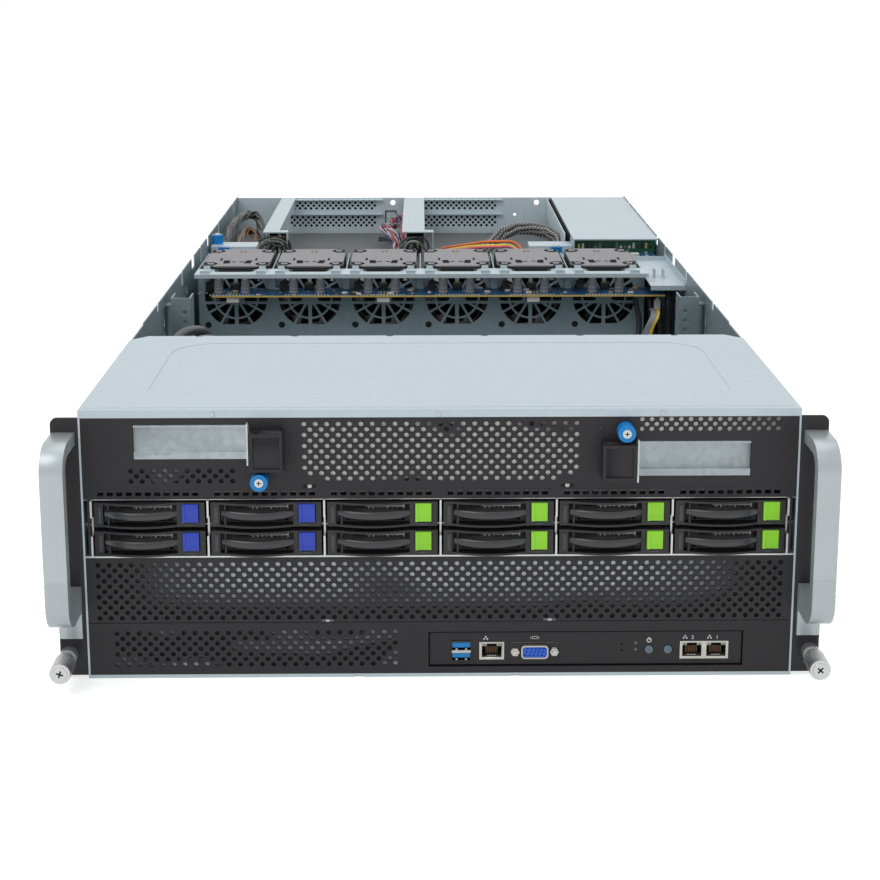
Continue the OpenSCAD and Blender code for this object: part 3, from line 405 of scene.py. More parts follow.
FINISH_MAKERS = {
    "cover": lambda c: plated_sheet("cover_sheet", c.cover, 0.25, 0.42, 0.03),
    # darker than the cover's sheet partly as painted shade on the inner walls
    "wall": lambda c: plated_sheet("chassis_sheet", c.wall, 0.35, 0.42, 0.10),
    "panel": lambda c: powder_coat("black_powder_coat", c.panel),
    "bright": lambda c: plated_sheet("bright_sheet", c.bright, 0.6, 0.34, 0.06),
    # painted light: the cover's sheet made 1.1 times brighter for the rear wall that faces the
    # lamps
    "pale": lambda c: plated_sheet("lit_rear_sheet", shade(c.cover, 1.1), 0.08, 0.5, 0.05),
    # painted light: the wall's sheet made 1.4 times brighter to lift the fan wall out of the shade
    # inside the chassis
    "fan_sheet": lambda c: plated_sheet("lit_fan_wall_sheet", shade(c.wall, 1.4), 0.25, 0.45, 0.08),
    "galvanised": lambda c: plated_sheet("galvanised_sheet", c.galvanised, 0.55, 0.36, 0.14),
    "handle": lambda c: ribbed_metal("satin_aluminium", c.handle, 0.36, 0.45, 0.048, 0.080),
    "plastic": lambda c: moulded("tray_plastic", c.plastic, 0.42),
    "latch_a": lambda c: moulded("blue_latch_plastic", c.latch_a, 0.38),
    "latch_b": lambda c: moulded("green_latch_plastic", c.latch_b, 0.38),
    "knob": lambda c: moulded("blue_knob_plastic", c.knob, 0.35),
    "board": lambda c: circuit("fan_board_mask", c.board),
    "green_board": lambda c: circuit("green_board_mask", (0.01, 0.10, 0.045)),
    "plate": lambda c: plated_sheet("fan_plate_sheet", c.plate, 0.3, 0.45, 0.04),
    "baffle": lambda c: moulded("baffle_plastic", c.baffle, 0.55, 0.3),
    "gold": lambda c: bright_metal("gold_edge", (0.66, 0.49, 0.14), 0.4, 0.25),
    "gold_dim": lambda c: bright_metal("contact_gold", (0.22, 0.12, 0.055), 0.4, 0.4),
    "port_shell": lambda c: bright_metal("port_shell", (0.50, 0.48, 0.43), 0.35, 0.5),
    "screw": lambda c: bright_metal("nickel_screw", (0.52, 0.53, 0.53), 0.27, 0.8),
    "connector": lambda c: bright_metal("connector_shell", (0.52, 0.51, 0.47), 0.33, 0.6),
    "rivet": lambda c: bright_metal("dark_rivet", (0.30, 0.30, 0.31), 0.3, 0.8),
    "dark": lambda c: moulded("dark_plastic", (0.02, 0.02, 0.021), 0.45),
    "white": lambda c: moulded("white_plastic", (0.62, 0.61, 0.57), 0.4),
    "can": lambda c: moulded("capacitor_sleeve", (0.16, 0.17, 0.18), 0.35),
    "vga": lambda c: moulded("blue_socket_plastic", (0.025, 0.12, 0.62), 0.4),
    "button": lambda c: moulded("button_plastic", (0.12, 0.17, 0.21), 0.4),
    "lamp": lambda c: moulded("lamp_lens", (0.12, 0.14, 0.12), 0.2),
    "gloss": lambda c: moulded("lever_plastic", shade(c.plastic, 1.4), 0.3, 0.6),
    "lattice": lambda c: bright_metal("drive_lattice", (0.55, 0.53, 0.48), 0.45, 0.2),
    "port_blue": lambda c: moulded("port_blue_plastic", (0.005, 0.22, 0.55), 0.35),
    "ink": lambda c: moulded("mark_ink", (0.75, 0.75, 0.75), 0.5),
    "gap": lambda c: moulded("gap_shadow", (0.003, 0.003, 0.003), 0.7, 0.05),
    "can_band": lambda c: moulded("capacitor_band", (0.30, 0.31, 0.33), 0.35),
    # painted shade: near-black sheets standing where the inside should read dark
    "shade_sheet": lambda c: moulded("painted_shade_sheet", (0.012, 0.012, 0.013), 0.8, 0.1),
    # sheets behind the vents: dark painted shade with pale painted light where light falls through
    "lit_screen": lambda c: painted_light_screen("middle_lit_screen", (0.006, 0.006, 0.007), (0.88, 0.91, 0.93),
                                    11.0, 0.34, 0.19, 0.046),
    "lit_screen_top": lambda c: painted_light_screen("top_lit_screen", (0.01, 0.01, 0.011), (0.95, 0.95, 0.93),
                                        24.0, 0.27, 0.24, 0.09),
    "lit_screen_low": lambda c: painted_light_screen("low_lit_screen", (0.005, 0.005, 0.006), (0.6, 0.62, 0.64),
                                        16.0, 0.53, 0.24, -0.02),
    # the pale tones of the grey and black sleeves are partly painted highlights on the strands
    "braid": lambda c: braided("grey_braid", (0.045, 0.048, 0.052), (0.22, 0.23, 0.24)),
    "braid_black": lambda c: braided("black_braid", (0.012, 0.012, 0.013), (0.30, 0.29, 0.28)),
    "braid_white": lambda c: braided("pale_braid", (0.03, 0.03, 0.032), (0.52, 0.52, 0.53)),
    "cable_dark": lambda c: jacket("dark_jacket", (0.035, 0.035, 0.037)),
    "cable_grey": lambda c: jacket("grey_jacket", (0.075, 0.08, 0.085)),
    "cable_amber": lambda c: jacket("amber_jacket", (0.30, 0.10, 0.02)),
    "cable_orange": lambda c: jacket("orange_jacket", (0.75, 0.16, 0.02)),
    "cable_yellow": lambda c: jacket("yellow_jacket", (0.75, 0.55, 0.06)),
    "cable_pink": lambda c: jacket("pink_jacket", (0.65, 0.10, 0.16)),
    "cable_red": lambda c: jacket("red_jacket", (0.42, 0.03, 0.04)),
    "cable_navy": lambda c: jacket("navy_jacket", (0.03, 0.05, 0.20)),
    "cable_green": lambda c: jacket("green_jacket", (0.10, 0.13, 0.08)),
    "cable_pale": lambda c: jacket("pale_jacket", (0.30, 0.31, 0.32)),
    "cable_white": lambda c: jacket("white_jacket", (0.60, 0.58, 0.60)),
}
MADE = {}


def finish(name):
    if name not in MADE:
        MADE[name] = FINISH_MAKERS[name](finishes())
    return MADE[name]


# ---------------------------------------------------------------- mesh tools

def at(x, d, z):
    """A point from millimetres across, behind the front plane and above the base."""
    return Vector((x * MM, FRONT + d * MM, z * MM))


def in_mm(point):
    """The same three numbers of a point in the frame."""
    return Vector((point.x / MM, (point.y - FRONT) / MM, point.z / MM))


def as_piece(name, bm, materials, body, smooth=35):
    """Makes a bmesh a finished piece that rides on a body."""
    mesh = bpy.data.meshes.new(name)
    bm.to_mesh(mesh)
    bm.free()
    for material in materials:
        mesh.materials.append(finish(material))
    piece = bpy.data.objects.new(name, mesh)
    bpy.context.scene.collection.objects.link(piece)
    mesh.set_sharp_from_angle(angle=math.radians(smooth))
    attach(piece, body)
    return piece


def solid_islands(bm):
    """The separate solids of a mesh, as lists of faces in the mesh's own order."""
    left = set(bm.faces)
    found = []
    for first in bm.faces:
        if first not in left:
            continue
        left.remove(first)
        stack = [first]
        island = []
        while stack:
            face = stack.pop()
            island.append(face)
            for edge in face.edges:
                for other in edge.link_faces:
                    if other in left:
                        left.remove(other)
                        stack.append(other)
        found.append(island)
    return found


def box_of(faces):
    """The lowest and highest corners of some faces, in millimetres."""
    points = [in_mm(v.co) for face in faces for v in face.verts]
    lo = Vector([min(p[k] for p in points) for k in range(3)])
    hi = Vector([max(p[k] for p in points) for k in range(3)])
    return lo, hi


def dress(node, base, paint=None, edge=None, sharper=40):
    """Stands a copy of a CAD node with soft edges, painted by the box of each face."""
    source = frame["nodes"][node]
    bm = bmesh.new()
    bm.from_mesh(source.data)
    bmesh.ops.remove_doubles(bm, verts=bm.verts, dist=MERGE)
    bmesh.ops.dissolve_limit(bm, angle_limit=math.radians(0.5), verts=bm.verts, edges=bm.edges,
                             delimit={"NORMAL"})
    names = [base]
    for island in solid_islands(bm):
        whole = box_of(island)
        for face in island:
            name = (paint(box_of([face]), whole) if paint else None) or base
            if name not in names:
                names.append(name)
            face.material_index = names.index(name)
            face.smooth = True
    if edge:
        sharp = [e for e in bm.edges
                 if e.is_manifold and e.calc_face_angle(0) > math.radians(sharper)]
        bmesh.ops.bevel(bm, geom=sharp, offset=edge, offset_type="OFFSET", affect="EDGES",
                        segments=2, profile=0.5, material=-1, clamp_overlap=True)
    piece = as_piece(f"{node}_dressed", bm, names, body_of(source)[0])
    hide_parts(node)
    return piece


def repaint(node, base, paint=None):
    """Gives a CAD node that keeps its own mesh its finishes, by the place of each face."""
    mesh = frame["nodes"][node].data
    names = [base]
    picked = []
    for face in mesh.polygons:
        name = (paint(in_mm(face.center), face.normal) if paint else None) or base
        if name not in names:
            names.append(name)
        picked.append(names.index(name))
    mesh.materials.clear()
    for name in names:
        mesh.materials.append(finish(name))
    mesh.polygons.foreach_set("material_index", picked)


def carve(solid, cutters):
    """The mesh of a solid with cutters taken out of it. All are bmeshes, and are used up."""
    holders = []
    for bm in (solid, *cutters):
        mesh = bpy.data.meshes.new("carving")
        bm.to_mesh(mesh)
        bm.free()
        holder = bpy.data.objects.new("carving", mesh)
        bpy.context.scene.collection.objects.link(holder)
        holders.append(holder)
    for cutter in holders[1:]:
        modifier = holders[0].modifiers.new("carve", "BOOLEAN")
        modifier.operation = "DIFFERENCE"
        modifier.solver = "EXACT"
        modifier.object = cutter
    done = holders[0].evaluated_get(bpy.context.evaluated_depsgraph_get())
    result = bpy.data.meshes.new_from_object(done)
    for holder in holders:
        mesh = holder.data
        bpy.data.objects.remove(holder)
        bpy.data.meshes.remove(mesh)
    return result


def facing(direction):
    """The turn that lays a form's Z along a direction."""
    return Vector(direction).to_track_quat("Z", "Y").to_matrix().to_4x4()


def screw_form():
    """A domed screw head of unit radius with a cross recess, standing on its origin."""
    head = bmesh.new()
    bmesh.ops.create_cone(head, cap_ends=True, segments=24, radius1=1.0, radius2=1.0, depth=0.6,
                          matrix=Matrix.Translation((0.0, 0.0, 0.3)))
    rim = [e for e in head.edges if min(v.co.z for v in e.verts) > 0.5]
    bmesh.ops.bevel(head, geom=rim, offset=0.28, offset_type="OFFSET", affect="EDGES",
                    segments=3, profile=0.5, material=-1)
    cutters = []
    for size in ((1.15, 0.24), (0.24, 1.15)):
        cross = bmesh.new()
        bmesh.ops.create_cube(cross, size=1.0, matrix=Matrix.Translation((0.0, 0.0, 0.6))
                              @ Matrix.Diagonal((*size, 0.6, 1.0)))
        cutters.append(cross)
    return carve(head, cutters)


class Builder:
    """Collects primitives in millimetres, each with its finish, into one piece."""

    def __init__(self):
        self.bm = bmesh.new()
        self.names = []

    def _painted(self, verts, name):
        if name not in self.names:
            self.names.append(name)
        for face in {f for v in verts for f in v.link_faces}:
            face.material_index = self.names.index(name)
            face.smooth = True
        return verts

    def _added(self, form):
        """Adds a mesh, and gives the vertices that came with it."""
        before = set(self.bm.verts)
        self.bm.from_mesh(form)
        return [v for v in self.bm.verts if v not in before]

    def block(self, x, d, z, name, edge=0.0, turn=None):
        """A block from its start and end along each axis, with soft edges."""
        centre = at(*((a + b) / 2 for a, b in (x, d, z)))
        size = [(b - a) * MM for a, b in (x, d, z)]
        matrix = Matrix.Translation(centre) @ (turn or Matrix()) @ Matrix.Diagonal((*size, 1.0))
        if not edge:
            verts = bmesh.ops.create_cube(self.bm, size=1.0, matrix=matrix)["verts"]
            return self._painted(verts, name)
        soft = bmesh.new()
        bmesh.ops.create_cube(soft, size=1.0, matrix=matrix)
        bmesh.ops.bevel(soft, geom=soft.edges[:], offset=edge * MM, offset_type="OFFSET",
                        affect="EDGES", segments=2, profile=0.5, material=-1)
        form = bpy.data.meshes.new("soft")
        soft.to_mesh(form)
        soft.free()
        verts = self._added(form)
        bpy.data.meshes.remove(form)
        return self._painted(verts, name)

    def rod(self, start, direction, radius, name, sides=20, tip=None):
        """A rod or cone from a start point along a direction, all in millimetres."""
        direction = Vector(direction) * MM
        matrix = Matrix.Translation(at(*start) + direction / 2) @ facing(direction)
        end = radius if tip is None else tip
        verts = bmesh.ops.create_cone(self.bm, cap_ends=True, segments=sides,
                                      radius1=radius * MM, radius2=end * MM,
                                      depth=direction.length, matrix=matrix)["verts"]
        return self._painted(verts, name)

    def stamp(self, form, place, direction, size, name):
        """A copy of a form, laid at a place and facing a direction."""
        verts = self._added(form)
        matrix = (Matrix.Translation(at(*place)) @ facing(direction)
                  @ Matrix.Scale(size * MM, 4))
        bmesh.ops.transform(self.bm, matrix=matrix, verts=verts)
        return self._painted(verts, name)

    def piece(self, name, body="root", slot=None):
        return as_piece(name, self.bm, self.names, body)


def swept(routes, radius, sides, steps, widths=None):
    """The bmesh of round forms along smooth routes, with a share of the radius at each point."""
    curve = bpy.data.curves.new("swept", "CURVE")
    curve.dimensions = "3D"
    curve.bevel_depth = radius * MM
    curve.bevel_resolution = sides
    curve.use_fill_caps = True
    curve.resolution_u = steps
    for route in routes:
        spline = curve.splines.new("BEZIER")
        spline.bezier_points.add(len(route) - 1)
        for knot, point, width in zip(spline.bezier_points, route, widths or [1.0] * len(route)):
            knot.co = at(*point)
            knot.radius = width
            knot.handle_left_type = knot.handle_right_type = "AUTO"
    holder = bpy.data.objects.new("swept", curve)
    mesh = bpy.data.meshes.new_from_object(holder)
    bpy.data.objects.remove(holder)
    bpy.data.curves.remove(curve)
    bm = bmesh.new()
    bm.from_mesh(mesh)
    bpy.data.meshes.remove(mesh)
    bmesh.ops.remove_doubles(bm, verts=bm.verts, dist=MERGE)
    for face in bm.faces:
        face.smooth = True
    return bm


def cable(name, routes, radius, material, body="root", sides=2):
    """Round cables along smooth routes of points in millimetres, as one piece."""
    bm = swept(routes, radius, sides, 6)
    return as_piece(name, bm, [material], body, smooth=60)


def tapered_bar(name, route, radius, widths, tall, material, body):
    """A smooth oval bar along a route, with its own thickness at each point."""
    bm = swept([route], radius, 3, 5, widths)
    middle = Matrix.Translation(at(*route[0]))
    stretch = middle @ Matrix.Diagonal((1.0, 1.0, tall, 1.0)) @ middle.inverted()
    bmesh.ops.transform(bm, matrix=stretch, verts=bm.verts)
    return as_piece(name, bm, [material], body, smooth=60)


def loose(route, count, spread, seed):
    """Routes of several wires that wander round one route."""
    rng = random.Random(seed)
    return [[tuple(c + rng.uniform(-spread, spread) for c in point) for point in route]
            for _ in range(count)]


def twisted(route, count, spread, turns, phase=0.0):
    """Routes of several strands that wind round one route."""
    points = [Vector(p) for p in route]
    strands = [[] for _ in range(count)]
    steps = 4
    fine = []
    for a, b in zip(points, points[1:]):
        fine += [a.lerp(b, k / steps) for k in range(steps)]
    fine.append(points[-1])
    for index, point in enumerate(fine):
        along = (fine[min(index + 1, len(fine) - 1)] - fine[max(index - 1, 0)]).normalized()
        side = along.cross(Vector((0.0, 0.0, 1.0) if abs(along.z) < 0.9 else (1.0, 0.0, 0.0)))
        side.normalize()
        up = side.cross(along)
        for strand in range(count):
            angle = math.tau * (strand / count + turns * index / len(fine)) + phase
            strands[strand].append(point + spread * (math.cos(angle) * side
                                                     + math.sin(angle) * up))
    return strands


# ---------------------------------------------------------------- operators

class SERVER_OT_stage(bpy.types.Operator):
    """Pale floor, soft studio light and the camera"""
    bl_idname = "server.stage"
    bl_label = "Stage"

    def execute(self, context):
        settings = context.scene.server_stage
        self.floor(settings.floor_glow)
        self.world(settings.light)
        self.lamps(settings.lamps)
        self.camera(settings)
        context.scene.view_settings.view_transform = "Standard"
        return {"FINISHED"}

    @staticmethod
    def floor(glow):
        bm = bmesh.new()
        bmesh.ops.create_grid(bm, x_segments=1, y_segments=1, size=14.0)
        mesh = bpy.data.meshes.new("floor")
        bm.to_mesh(mesh)
        bm.free()
        f = Finish("floor_paper")
        cloud = f.noise(3.0, 2.0)
        tint = f.mix(cloud, (0.90, 0.90, 0.90), (0.92, 0.92, 0.92))
        rays = [f.node("ShaderNodeLightPath", output=f"Is {kind} Ray")
                for kind in ("Camera", "Glossy", "Transmission")]
        seen = rays[0] + rays[1] + rays[2]
        light = f.mix(seen, (0.0, 0.0, 0.0), (glow, glow, glow))
        mesh.materials.append(f.surface(tint, 0.9, Specular_IOR_Level=0.0,
                                        Emission_Color=light, Emission_Strength=1.0))
        floor = bpy.data.objects.new("floor", mesh)
        bpy.context.scene.collection.objects.link(floor)

    @staticmethod
    def world(light):
        world = bpy.data.worlds.new("studio")
        bpy.context.scene.world = world
        world.use_nodes = True
        tree = world.node_tree
        background = tree.nodes["Background"]
        path = tree.nodes.new("ShaderNodeLightPath")
        seen = path.outputs["Is Camera Ray"]
        for kind in ("Glossy", "Transmission"):
            either = tree.nodes.new("ShaderNodeMath")
            either.operation = "MAXIMUM"
            tree.links.new(seen, either.inputs[0])
            tree.links.new(path.outputs[f"Is {kind} Ray"], either.inputs[1])
            seen = either.outputs[0]
        strength = tree.nodes.new("ShaderNodeMix")
        tree.links.new(seen, strength.inputs[0])
        strength.inputs[2].default_value = light
        strength.inputs[3].default_value = 1.0
        tree.links.new(strength.outputs[0], background.inputs["Strength"])
        background.inputs["Color"].default_value = (1.0, 1.0, 1.0, 1.0)

    @staticmethod
    def lamps(power):
        for name, place, size, share in (
                ("key", (-1.3, -1.6, 2.2), 1.6, 36.0),
                ("top", (0.2, 0.5, 2.6), 2.4, 26.0),
                ("fill", (1.9, -1.2, 1.3), 1.4, 4.0)):
            lamp = bpy.data.lights.new(name, "AREA")
            lamp.size = size
            lamp.energy = share * power
            holder = bpy.data.objects.new(name, lamp)
            holder.location = place
            holder.rotation_euler = (CENTRE - Vector(place)).to_track_quat("-Z", "Y").to_euler()
            bpy.context.scene.collection.objects.link(holder)

    @staticmethod
    def camera(settings):
        data = bpy.data.cameras.new("camera")
        data.lens = settings.lens
        data.sensor_width = 36.0
        data.shift_y = -0.2
        holder = bpy.data.objects.new("camera", data)
        holder.location = (-0.0121, -1.3951, 0.4541)
        tilt = math.radians(90.0 - 11.0)
        holder.rotation_euler = (tilt, 0.0, math.radians(-0.704))
        bpy.context.scene.collection.objects.link(holder)
        bpy.context.scene.camera = holder


class SERVER_OT_sheet_metal(bpy.types.Operator):
    """Finishes of the chassis, panels, covers and cages"""
    bl_idname = "server.sheet_metal"
    bl_label = "Sheet metal"

    def execute(self, context):
        edge = context.scene.server_sizes.edge
        repaint("chassis_pan", "wall", self.pale_front)
        repaint("rear_panel", "pale")
        repaint("fan_wall", "fan_sheet", self.wall_paint)
        for node, name in (("front_cover", "cover"), ("upper_front_panel", "panel"),
                           ("vent_panel", "panel"), ("lower_front_panel", "panel")):
            repaint(node, name)
        repaint("drive_cage", "bright", self.cage_paint)
        dress("rack_ears", "panel", edge=edge)
        dress("handles", "handle", edge=edge * 3)
        self.front_backing_sheets()
        return {"FINISHED"}

    @staticmethod
    def front_backing_sheets():
        """Sheets behind the vents painted with light and shade, a dark sheet of painted shade
        behind the slots above the drive cage, and the dark strips beside the drive cage.
        """
        made = Builder()
        for x, z, name in (((-217, 217), (39, 79), "lit_screen"), ((-209, -16), (4, 33), "lit_screen_low"),
                           ((-90, 90), (129, 171), "lit_screen_top"),
                           ((-196, -122), (129, 142), "lit_screen_low"),
                           ((124, 214), (160, 171.5), "lit_screen_top")):
            made.block(x, (1.5, 1.9), z, name, 0.1)
        # painted shade: a dark sheet behind the slots of the black strip above the drive cage
        made.block((-216, 216), (14.0, 14.6), (119.4, 125), "shade_sheet", 0.1)
        for side in (-1, 1):
            ends = sorted((side * 220.6, side * 219.0))
            made.block(ends, (0.3, 1.2), (82.4, 119.0), "panel", 0.1)
        made.piece("front_backing_sheets", slot="black_panel")

    @staticmethod
    def pale_front(place, normal):
        return "cover" if place.y < 0.1 else None

    @staticmethod
    def wall_paint(place, normal):
        if place.x > 192.1 or place.z > 168.5 and place.y < 474:
            return "cover"
        return None

    @staticmethod
    def cage_paint(place, normal):
        return "panel" if place.z > 119.1 and place.y < 12.1 else None


class SERVER_OT_fasteners(bpy.types.Operator):
    """Small screws of the panels, the cover and the slot covers"""
    bl_idname = "server.fasteners"
    bl_label = "Fasteners"

    def execute(self, context):
        head = screw_form()
        radius = context.scene.server_sizes.screw_head / MM / 2
        made = Builder()
        for x, z in ((-81.6, 127.4), (79.2, 127.4), (-71.5, 38.2), (69.3, 38.2)):
            made.rod((x, 1.6, z), (0, -1.0, 0), 1.3, "connector")
            made.stamp(head, (x, 0.9, z), (0, -1, 0), 0.9, "connector")
        for x in (-141, -1.5, 138):
            made.stamp(head, (x, -0.3, 174), (0, -1, 0), 1.3, "screw")
        for x, z in ((-97.5, 137.2), (99.5, 164.5)):
            made.stamp(head, (x, 0.0, z), (0, -1, 0), 1.9, "dark")
        for x, z in ((-52, 1.3), (48, 1.3)):
            made.stamp(head, (x, 0.6, z), (0, -1, 0), 1.1, "screw")
        made.piece("panel_screws", slot="screw_metal")

        caps = Builder()
        for x, z in ((-112.3, 132.6), (114.7, 163.3)):
            caps.rod((x, -8.9, z), (0, -0.4, 0), 2.9, "screw", 32, 2.7)
            # painted shade: a thin dark cross on the head stands for the shade in its cross recess
            for turn in (8, 98):
                lean = Matrix.Rotation(math.radians(turn), 4, "Y")
                caps.block((x - 1.5, x + 1.5), (-9.45, -9.2), (z - 0.3, z + 0.3), "dark",
                           turn=lean)
        for x, y, z in ((-215.5, 630, 176.4), (-206, 602, 169), (122, 602, 169)):
            caps.stamp(head, (x, y, z - 0.2), (0, 0, 1), radius * 1.2, "screw")
        caps.piece("captive_screw_heads", slot="screw_metal")

        for side, body in ((-1, "left_thumbscrew"), (1, "right_thumbscrew")):
            front = Builder()
            x, z = side * 235.5, 16.5
            front.rod((x, -28.9, z), (0, -0.5, 0), 4.7, "screw", 40, 4.5)
            # painted shade: a thin dark cross on the head stands for the shade in its cross recess
            for turn in (30, 120):
                lean = Matrix.Rotation(math.radians(turn + side * 12), 4, "Y")
                front.block((x - 2.3, x + 2.3), (-29.5, -29.2), (z - 0.55, z + 0.55), "dark",
                            turn=lean)
            front.piece(f"{body}_head", body, "screw_metal")
        bpy.data.meshes.remove(head)
        return {"FINISHED"}


class SERVER_OT_front_parts(bpy.types.Operator):
    """Slot covers, rack screws, buttons and ports"""
    bl_idname = "server.front_parts"
    bl_label = "Front parts"

    def execute(self, context):
        edge = context.scene.server_sizes.edge
        for node in ("left_thumbscrew", "right_thumbscrew"):
            dress(node, "screw")
        for node in ("power_button", "id_button"):
            dress(node, "button", edge=edge)
        dress("slot_covers", "bright", self.slot_paint)
        dress("io_ports", "connector", self.port_paint)
        self.contacts()
        self.marks()
        return {"FINISHED"}

    @staticmethod
    def slot_paint(face, island):
        size = island[1] - island[0]
        if size.x > 50:
            return "galvanised"
        return "knob" if size.x < 12 else "panel"

    @staticmethod
    def port_paint(face, island):
        lo, hi = face
        middle = (lo + hi) / 2
        if hi.z < 7.3:
            return "green_board"
        if 45 < middle.x < 75:
            insert = lo.x > 52 and hi.x < 68 and lo.z > 12.9 and hi.z < 20.3
            flange = lo.y > 0.5 and hi.y < 0.7
            bolt = 11.1 < abs(middle.x - 60) < 13.9 and lo.y < -1.5
            if insert and lo.y > -1.0:
                return "vga"
            return "panel" if flange else "dark" if bolt else "connector"
        if 123 < middle.x < 126:
            return "lamp"
        if 6.7 < lo.x and hi.x < 19.7:
            return "dark"
        for start, end in LAN_SPANS:
            if start + 1.5 < lo.x and hi.x < end - 1.5 and hi.y < 13.1:
                return "dark"
        return None

    @staticmethod
    def contacts():
        made = Builder()
        for start, end in LAN_SPANS:
            middle = (start + end) / 2
            for k in range(8):
                x = middle + (k - 3.5) * 1.02
                made.block((x - 0.17, x + 0.17), (4.0, 4.4), (14.0, 18.6), "gold_dim")
            for side in (-1, 1):
                x = middle + side * 4.7
                made.block((x - 1.4, x + 1.4), (0.8, 4), (20.3, 22.0), "port_shell", 0.1)
                made.block((x - 0.9, x + 0.9), (0.5, 1.2), (20.7, 21.6), "can", 0.1)
            made.block((middle - 3, middle + 3), (2.0, 2.5), (13.0, 13.5), "port_shell", 0.1)
        for low in (10.6, 17.4):
            made.block((7.5, 18.9), (0.9, 12), (low + 1.9, low + 5.3), "port_blue", 0.1)
            for x in (9.6, 15.6):
                made.block((x, x + 1.3), (0.8, 1.6), (low + 0.3, low + 1.1), "white", 0.1)
        made.block((7.2, 19.2), (0.3, 1.0), (15.9, 17.5), "white", 0.1)
        made.piece("port_contacts", slot="connector_metal")

        pins = Builder()
        for side in (-1, 1):
            pins.rod((60 + side * 12.5, -0.9, 16.6), (0, 1.5, 0), 1.9, "dark", 24)
            pins.rod((60 + side * 12.5, -1.3, 16.6), (0, 2.5, 0), 1.2, "screw", 24)
        pins.piece("socket_posts", slot="connector_metal")

    @staticmethod
    def marks():
        """Plain numbers over the twin sockets and a ring with a bar over the power button."""
        numbers = ((176.4, "1"), (160.8, "2"))
        for index, (x, digit) in enumerate(numbers):
            curve = bpy.data.curves.new("mark", "FONT")
            curve.body = digit
            curve.size = 3.4 * MM
            curve.extrude = 0.04 * MM
            curve.align_x = "CENTER"
            holder = bpy.data.objects.new("mark", curve)
            mesh = bpy.data.meshes.new_from_object(holder)
            bpy.data.objects.remove(holder)
            bpy.data.curves.remove(curve)
            bm = bmesh.new()
            bm.from_mesh(mesh)
            bpy.data.meshes.remove(mesh)
            matrix = Matrix.Translation(at(x, 1.16, 24.2)) @ Matrix.Rotation(math.pi / 2, 4, "X")
            bmesh.ops.transform(bm, matrix=matrix, verts=bm.verts)
            as_piece(f"socket_number_{index + 1}", bm, ["ink"], "root")

        made = Builder()
        left, right, low, high = -7.7, 192.8, 6.8, 30.4
        for x, z in (((left, right), (low, low + 0.8)), ((left, right), (high - 0.8, high)),
                     ((left, left + 0.8), (low, high)), ((right - 0.8, right), (low, high))):
            made.block(x, (0.6, 1.25), z, "gap")
        for x in (28.8, 156.0, 171.6):
            made.block((x - 0.45, x + 0.45), (1.1, 1.2), (26.0, 26.9), "ink")
            for side in (-1, 1):
                made.block((x + side * 1.0 - 0.45, x + side * 1.0 + 0.45), (1.1, 1.2),
                           (24.5, 25.4), "ink")
                made.block((x + side * 0.5 - 0.1, x + side * 0.5 + 0.1), (1.1, 1.2),
                           (25.3, 26.1), "ink")
        for z in (24.8, 26.4):
            made.block((58.4, 61.6), (1.1, 1.2), (z, z + 0.25), "ink")
        for x in (57.4, 58.4, 61.4, 62.4):
            made.block((x, x + 0.25), (1.1, 1.2), (24.8, 26.6), "ink")
        for k in range(13):
            angle = math.radians(-240 + k * 25)
            x, z = 133 + 1.3 * math.cos(angle), 23.6 + 1.3 * math.sin(angle)
            made.rod((x, 1.18, z), (0, -0.08, 0), 0.34, "ink", 12)
        made.block((132.75, 133.25), (1.1, 1.2), (23.8, 25.6), "ink")
        made.piece("power_mark", slot="black_panel")


